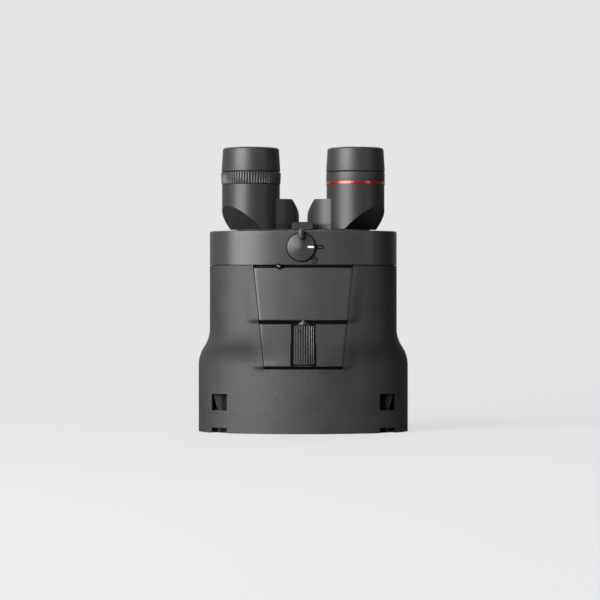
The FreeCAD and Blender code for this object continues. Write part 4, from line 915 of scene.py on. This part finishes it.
# The black ring in the gap round the disc is painted shade.
gap_shade = [(DISC_RADIUS + 0.04 * MM, 0.0, 0.0), (DIAL_RADIUS + 0.05 * MM, 0.0, 0.0),
        (DIAL_RADIUS + 0.05 * MM, CONE_RIM - 0.15 * MM, 0.1 * MM),
        (DISC_RADIUS + 0.04 * MM, CONE_RIM - 0.15 * MM, 0.1 * MM)]
gap_shade_mesh = facing_front(lathe("dial gap shade", rounded(gap_shade, 3), (0.0, 0.0), 192),
                         DIAL, DIAL_BACK + 0.4 * MM)
gap_shade_ring = piece_from("dial_gap_shade", gap_shade_mesh, "ink_and_painted_shade", "chassis", sharp=30)
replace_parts(gap_shade_ring, "dial_bezel")
face = facing_front(lathe("dial face", rounded(cone, 4), (0.0, 0.0), 192), DIAL, DIAL_BACK)
dial_face = piece_from("dial_disc", face, "satin", "power_dial", sharp=30)
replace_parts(dial_face, "power_dial")


def extruded(name, outline, front, back, soft):
    """A closed flat outline in XZ between two depths, with a rounded front edge."""
    piece = placed(name, bpy.data.meshes.new(name))
    work = bmesh.new()
    ring = [work.verts.new((x, back, z)) for x, z in outline]
    face = work.faces.new(ring)
    grown = bmesh.ops.extrude_face_region(work, geom=[face])
    lifted = [item for item in grown["geom"] if isinstance(item, bmesh.types.BMVert)]
    for vert in lifted:
        vert.co.y = front
    bmesh.ops.recalc_face_normals(work, faces=work.faces)
    work.to_mesh(piece.data)
    work.free()
    if soft > 0:
        step = piece.modifiers.new("round", "BEVEL")
        step.width = soft
        step.segments = 3
        step.limit_method = "ANGLE"
        step.angle_limit = math.radians(40)
    mesh = settle(piece)
    bpy.data.objects.remove(piece)
    return mesh


def pill(centre, half_length, half_width, turn=0.0, steps=10):
    """A round-ended bar's outline, turned by an angle in radians."""
    points = []
    for end in (1, -1):
        for step in range(steps + 1):
            angle = math.pi * (step / steps - 0.5) + (0 if end > 0 else math.pi)
            x = end * (half_length - half_width) + half_width * math.cos(angle)
            z = half_width * math.sin(angle)
            points.append((centre[0] + x * math.cos(turn) - z * math.sin(turn),
                           centre[1] + x * math.sin(turn) + z * math.cos(turn)))
    return points


FIN_HALF = 1.6 * MM
fin_top, fin_foot, fin_shoulder = 11.0 * MM, 1.8 * MM, 4.5 * MM
ramp = pill((DIAL[0], DIAL[1] + (fin_top - fin_foot) / 2 - 0.4 * MM),
            (fin_top + fin_foot) / 2 - 0.4 * MM, FIN_HALF, math.pi / 2)
low_fin = extruded("fin ramp", ramp, DIAL_FRONT + 0.1 * MM, DIAL_BACK - 0.4 * MM, 0.3 * MM)
high_fin = extruded("fin", [(DIAL[0] - FIN_HALF, DIAL[1] + fin_shoulder),
                            (DIAL[0] + FIN_HALF, DIAL[1] + fin_shoulder),
                            (DIAL[0] + FIN_HALF, DIAL[1] + fin_top),
                            (DIAL[0] - FIN_HALF, DIAL[1] + fin_top)],
                    dial_low[1], DIAL_BACK - 0.1 * MM, 1.1 * MM)
piece_from("dial_ramp", low_fin, "satin", "power_dial", sharp=35)
piece_from("dial_fin", high_fin, "satin", "power_dial", sharp=35)
dash = extruded("dash", pill((DIAL[0] + 5.9 * MM, DIAL[1]), 1.9 * MM, 0.55 * MM),
                -0.05 * MM, 0.3 * MM, 0.0)
for vertex in dash.vertices:
    vertex.co.y += cone_front(vertex.co.x, vertex.co.z)
piece_from("dial_dash", dash, "white", "power_dial")
print("dial at", [round(value / MM, 2) for value in DIAL])


# %% [markdown]
# ## Marks, lamp, seams and pockets
# The head carries two engraved marks beside the dial, drawn as fine dark beads that lie on
# its curved front. They could be a pattern in the material, but a shape keeps its edge at
# any distance.

# %% Marks on the head
def head_front(x):
    """Depth of the head's front at a place across."""
    return front_of(HEAD_HALF, WAIST_SQUARE, x)


def bead(points, radius, closed=True, sides=8):
    """A thin round bead along points that lie on the head's front."""
    count = len(points)
    spine = [Vector((x, head_front(x) - 0.02 * MM, z)) for x, z in points]
    rings = []
    for index, here in enumerate(spine):
        before = spine[index - 1] if closed or index else here
        after = spine[(index + 1) % count] if closed or index < count - 1 else here
        along = (after - before).normalized()
        out = Vector((0.0, -1.0, 0.0))
        side = along.cross(out).normalized()
        rings.append([here + (side * math.cos(2 * math.pi * n / sides)
                              + out * math.sin(2 * math.pi * n / sides)) * radius
                      for n in range(sides)])
    verts = [tuple(point) for ring in rings for point in ring]
    links = count if closed else count - 1
    faces = [(row * sides + n, row * sides + (n + 1) % sides,
              ((row + 1) % count) * sides + (n + 1) % sides, ((row + 1) % count) * sides + n)
             for row in range(links) for n in range(sides)]
    if not closed:
        faces += [tuple(range(sides)), tuple(reversed(range((count - 1) * sides, count * sides)))]
    return mesh_from("bead", verts, faces)


def arc_points(centre, radius, start, end, steps=28):
    """Points (x, z) along an arc, with its angles in degrees."""
    return [(centre[0] + radius * math.cos(math.radians(start + (end - start) * n / steps)),
             centre[1] + radius * math.sin(math.radians(start + (end - start) * n / steps)))
            for n in range(steps + 1)]


STROKE = 0.34 * MM
pill_mark = bead(pill((DIAL[0] + 11.4 * MM, DIAL[1]), 2.05 * MM, 0.9 * MM), STROKE)
piece_from("mark_off", pill_mark, "ink_and_painted_shade", "chassis")
swirl_at = (DIAL[0] + 8.0 * MM, DIAL[1] - 8.0 * MM)
piece_from("mark_steady_arc", bead(arc_points(swirl_at, 1.75 * MM, -150, 120), STROKE, closed=False),
           "ink_and_painted_shade", "chassis")
piece_from("mark_steady_dash", bead([(swirl_at[0] - 1.9 * MM, swirl_at[1] + 0.9 * MM),
                                     (swirl_at[0] - 0.6 * MM, swirl_at[1] + 0.35 * MM),
                                     (swirl_at[0] + 0.7 * MM, swirl_at[1] - 0.1 * MM)],
                                    STROKE, closed=False), "ink_and_painted_shade", "chassis")
print("marks drawn with a", round(2 * STROKE / MM, 2), "mm stroke")

# %% [markdown]
# The lamp is three small turned pieces: a bezel, a dark domed lens, and a lit spot just
# under the lens. Making the spot a piece of its own keeps the glow small and off centre,
# as a light pipe under tinted plastic looks.

# %% Status lamp
def lamp_part(name, corners, steps, segments, at):
    """A (radius, height, round) profile in mm, turned and set into the head's front."""
    profile = rounded([(r * MM, h * MM, b * MM) for r, h, b in corners], steps)
    return facing_front(lathe(name, profile, (0.0, 0.0), segments), at, light_low[1])


bezel = lamp_part("lamp ring", [(1.05, -3.0, 0.0), (1.7, -3.0, 0.0), (1.7, -0.25, 0.2),
                                (1.5, 0.0, 0.15), (1.15, -0.15, 0.1)], 3, 64, LIGHT)
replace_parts(piece_from("lamp_bezel", bezel, "ink_and_painted_shade", "chassis"), "led_bezel")
dome = lamp_part("lamp lens", [(0.0, -2.0, 0.0), (1.08, -2.0, 0.0), (1.08, -0.65, 0.3),
                               (0.0, -0.3, 0.0)], 5, 48, LIGHT)
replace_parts(piece_from("lamp_lens", dome, "lamp", "chassis"), "led_lens")
glint = lamp_part("lamp glow", [(0.0, -0.6, 0.0), (0.42, -0.6, 0.0), (0.38, -0.32, 0.15),
                                (0.0, -0.2, 0.0)], 3, 32, (LIGHT[0] + 0.5 * MM, LIGHT[1] - 0.25 * MM))
piece_from("lamp_glow", glint, "glow", "chassis")
print("lamp", round(2 * LIGHT_RADIUS / MM, 2), "mm across")

# %% [markdown]
# A hairline seam runs round each turret just above its foot. It could be a cut groove; instead a
# thin black ring at the surface paints the groove's shade and leaves the turret's own mesh alone.

# %% Turret seams
TURRET_SEAM = 127.5
for side, word in (("l", "left"), ("r", "right")):
    pivot = axis_of("bearing_ring_" + side)
    seam_mesh = lathe("seam", rounded([(r * MM, z * MM, 0.0) for r, z in (
        (17.5, TURRET_SEAM - 0.14), (17.84, TURRET_SEAM - 0.14),
        (17.84, TURRET_SEAM + 0.14), (17.5, TURRET_SEAM + 0.14))]), pivot, 160)
    piece_from("turret_seam_" + side, seam_mesh, "ink_and_painted_shade", "turret_" + word)

# %% [markdown]
# Behind each strap window stands a slanted wall, and behind each foot notch a low one.
# Both are flat plates with a slightly rounded edge, since only their fronts can be seen. Their
# plastic is darker and duller than the rubber, partly to paint the shade inside the recesses.

# %% Strap pocket walls
POCKET_BACK = 6.0 * MM
POCKET_MIDDLE = (STRAP_INNER + STRAP_OUTER) / 2
NOTCH_WALL = 51.2 * MM
NOTCH_WALL_FOOT = 0.4 * MM
for side, letter in ((-1, "l"), (1, "r")):
    outer, inner = side * STRAP_OUTER, side * STRAP_INNER
    at = front_of(BASE_HALF, BASE_SQUARE, POCKET_MIDDLE) + POCKET_BACK
    toe = outer + (inner - outer) * 0.4
    slanted = extruded("pocket_and_painted_shade", [(outer + (inner - outer) * 0.04, STRAP_HIGH + 0.6 * MM),
                                  (inner, STRAP_HIGH + 0.6 * MM), (inner, STRAP_LOW - 0.6 * MM),
                                  (toe, STRAP_LOW - 0.6 * MM)], at, at + 1.2 * MM, 0.22 * MM)
    piece_from("strap_pocket_wall_" + letter, slanted, "pocket_and_painted_shade", "chassis", sharp=30)
    low_wall = extruded("notch", [(side * NOTCH_WALL, NOTCH_WALL_FOOT),
                                  (side * NOTCH_WALL, NOTCH_TOP + 0.3 * MM),
                                  (inner, NOTCH_TOP + 0.3 * MM), (inner, NOTCH_WALL_FOOT)],
                        at - 1.9 * MM, at - 0.8 * MM, 0.1 * MM)
    piece_from("foot_notch_wall_" + letter, low_wall, "pocket_and_painted_shade", "chassis", sharp=30)
print("pocket walls", round(POCKET_BACK / MM, 1), "mm behind the front")

# %% [markdown]
# ## Floor, light and camera
# A pale floor runs to the horizon, where it meets a sky of the same tone. A real studio
# would use a paper sweep; a flat slab that fades into the sky's tone looks the same and
# needs no curved backdrop that other views would show.

# %% Floor
SKY = 0.79
FLOOR_LIT = 0.15
NEAR = 0.5
FAR = 2.4


def floor_piece():
    """A wide slab: lit near the object, and of the sky's own tone far away."""
    mesh = block((-40.0, -40.0, -0.02), (40.0, 40.0, 0.0))
    floor = placed("floor", mesh)
    sheet = SurfaceSheet("pale floor")
    away = sheet.add("ShaderNodeVectorMath", {"operation": "LENGTH"}, {0: sheet.place})
    near = Value(sheet, away.outputs["Value"]).over(FAR, NEAR)
    seen = Value(sheet, sheet.add("ShaderNodeLightPath", {}, {}).outputs["Is Camera Ray"])
    glow = seen * (SKY - near * FLOOR_LIT)
    sheet.set(Base_Color=sheet.blend((0.0, 0.0, 0.0), (0.12, 0.1205, 0.121), near),
              Emission_Color=sheet.blend((0.0, 0.0, 0.0), (0.985, 0.993, 1.0), glow),
              Roughness=0.9)
    sheet.shader.inputs["Specular IOR Level"].default_value = 0.0
    sheet.shader.inputs["Emission Strength"].default_value = 1.0
    mesh.materials.append(sheet.material)


floor_piece()
print("floor fades from", NEAR, "to", FAR, "m")

# %% [markdown]
# One wide soft box on the left front gives the long highlight down the curved fronts. A
# weak strip on the right front gives the second, thinner one, a fill lights the back, and
# a faint one lights the top. The room itself stays dim so that the charcoal keeps its
# depth: it looks pale, but lights the object with less than it shows.

# %% Room light
def softbox(name, azimuth, height, distance, size, power):
    """A rectangular lamp aimed at the object; azimuth is from -Y towards +X in degrees."""
    lamp = bpy.data.lights.new(name, "AREA")
    lamp.shape = "RECTANGLE"
    lamp.size, lamp.size_y = size
    lamp.energy = power
    holder = placed(name, lamp)
    turn = math.radians(azimuth)
    holder.location = (distance * math.sin(turn), -distance * math.cos(turn), height)
    aim = Vector((0.0, 0.0, 0.085)) - holder.location
    holder.rotation_euler = aim.to_track_quat("-Z", "Y").to_euler()


softbox("key softbox", -41, 0.70, 1.6, (1.35, 1.4), 70)
softbox("right strip", 50, 0.6, 1.6, (0.25, 1.2), 2.4)
softbox("back fill", -176, 1.5, 1.6, (1.5, 1.0), 20)
softbox("top softbox", -150, 1.9, 0.9, (1.2, 1.2), 1.2)


def room():
    """A sky of one pale tone to look at, and a dimmer room to light by."""
    world = bpy.data.worlds.new("studio")
    world.use_nodes = True
    bpy.context.scene.world = world
    sheet = Sheet(world.node_tree)
    background = sheet.tree.nodes["Background"]
    place = sheet.add("ShaderNodeTexCoord", {}, {}).outputs["Generated"]
    parts = sheet.add("ShaderNodeSeparateXYZ", {}, {0: place})
    across, along, up = [Value(sheet, parts.outputs[axis]) for axis in range(3)]
    level = (0.045 + across.over(0.0, -1.0) * 0.26 + along.over(0.3, 1.0) * 0.38
             + up.over(0.4, 1.0) * 0.07)
    seen = Value(sheet, sheet.add("ShaderNodeLightPath", {}, {}).outputs["Is Camera Ray"])
    strength = level * (1 - seen) + seen * SKY
    sheet.join(background.inputs["Strength"], strength)
    background.inputs["Color"].default_value = (0.985, 0.993, 1.0, 1.0)


room()
print("lamps", len(bpy.data.lights))
scene = bpy.context.scene
scene.view_settings.view_transform = "Standard"
scene.view_settings.look = "None"

# %% [markdown]
# The camera looks level along +Y from 1.65 m away with a long lens, which keeps upright
# lines upright and shows near and far parts at almost the same scale.

# %% Camera
camera_lens = bpy.data.cameras.new("camera")
camera_lens.lens = 159.7
camera_lens.sensor_width = 36
camera = placed("camera", camera_lens)
camera.location = (-0.002, -1.650, 0.0815)
camera.rotation_euler = (math.radians(90), 0, 0)
scene.camera = camera
print("camera", tuple(camera.location))
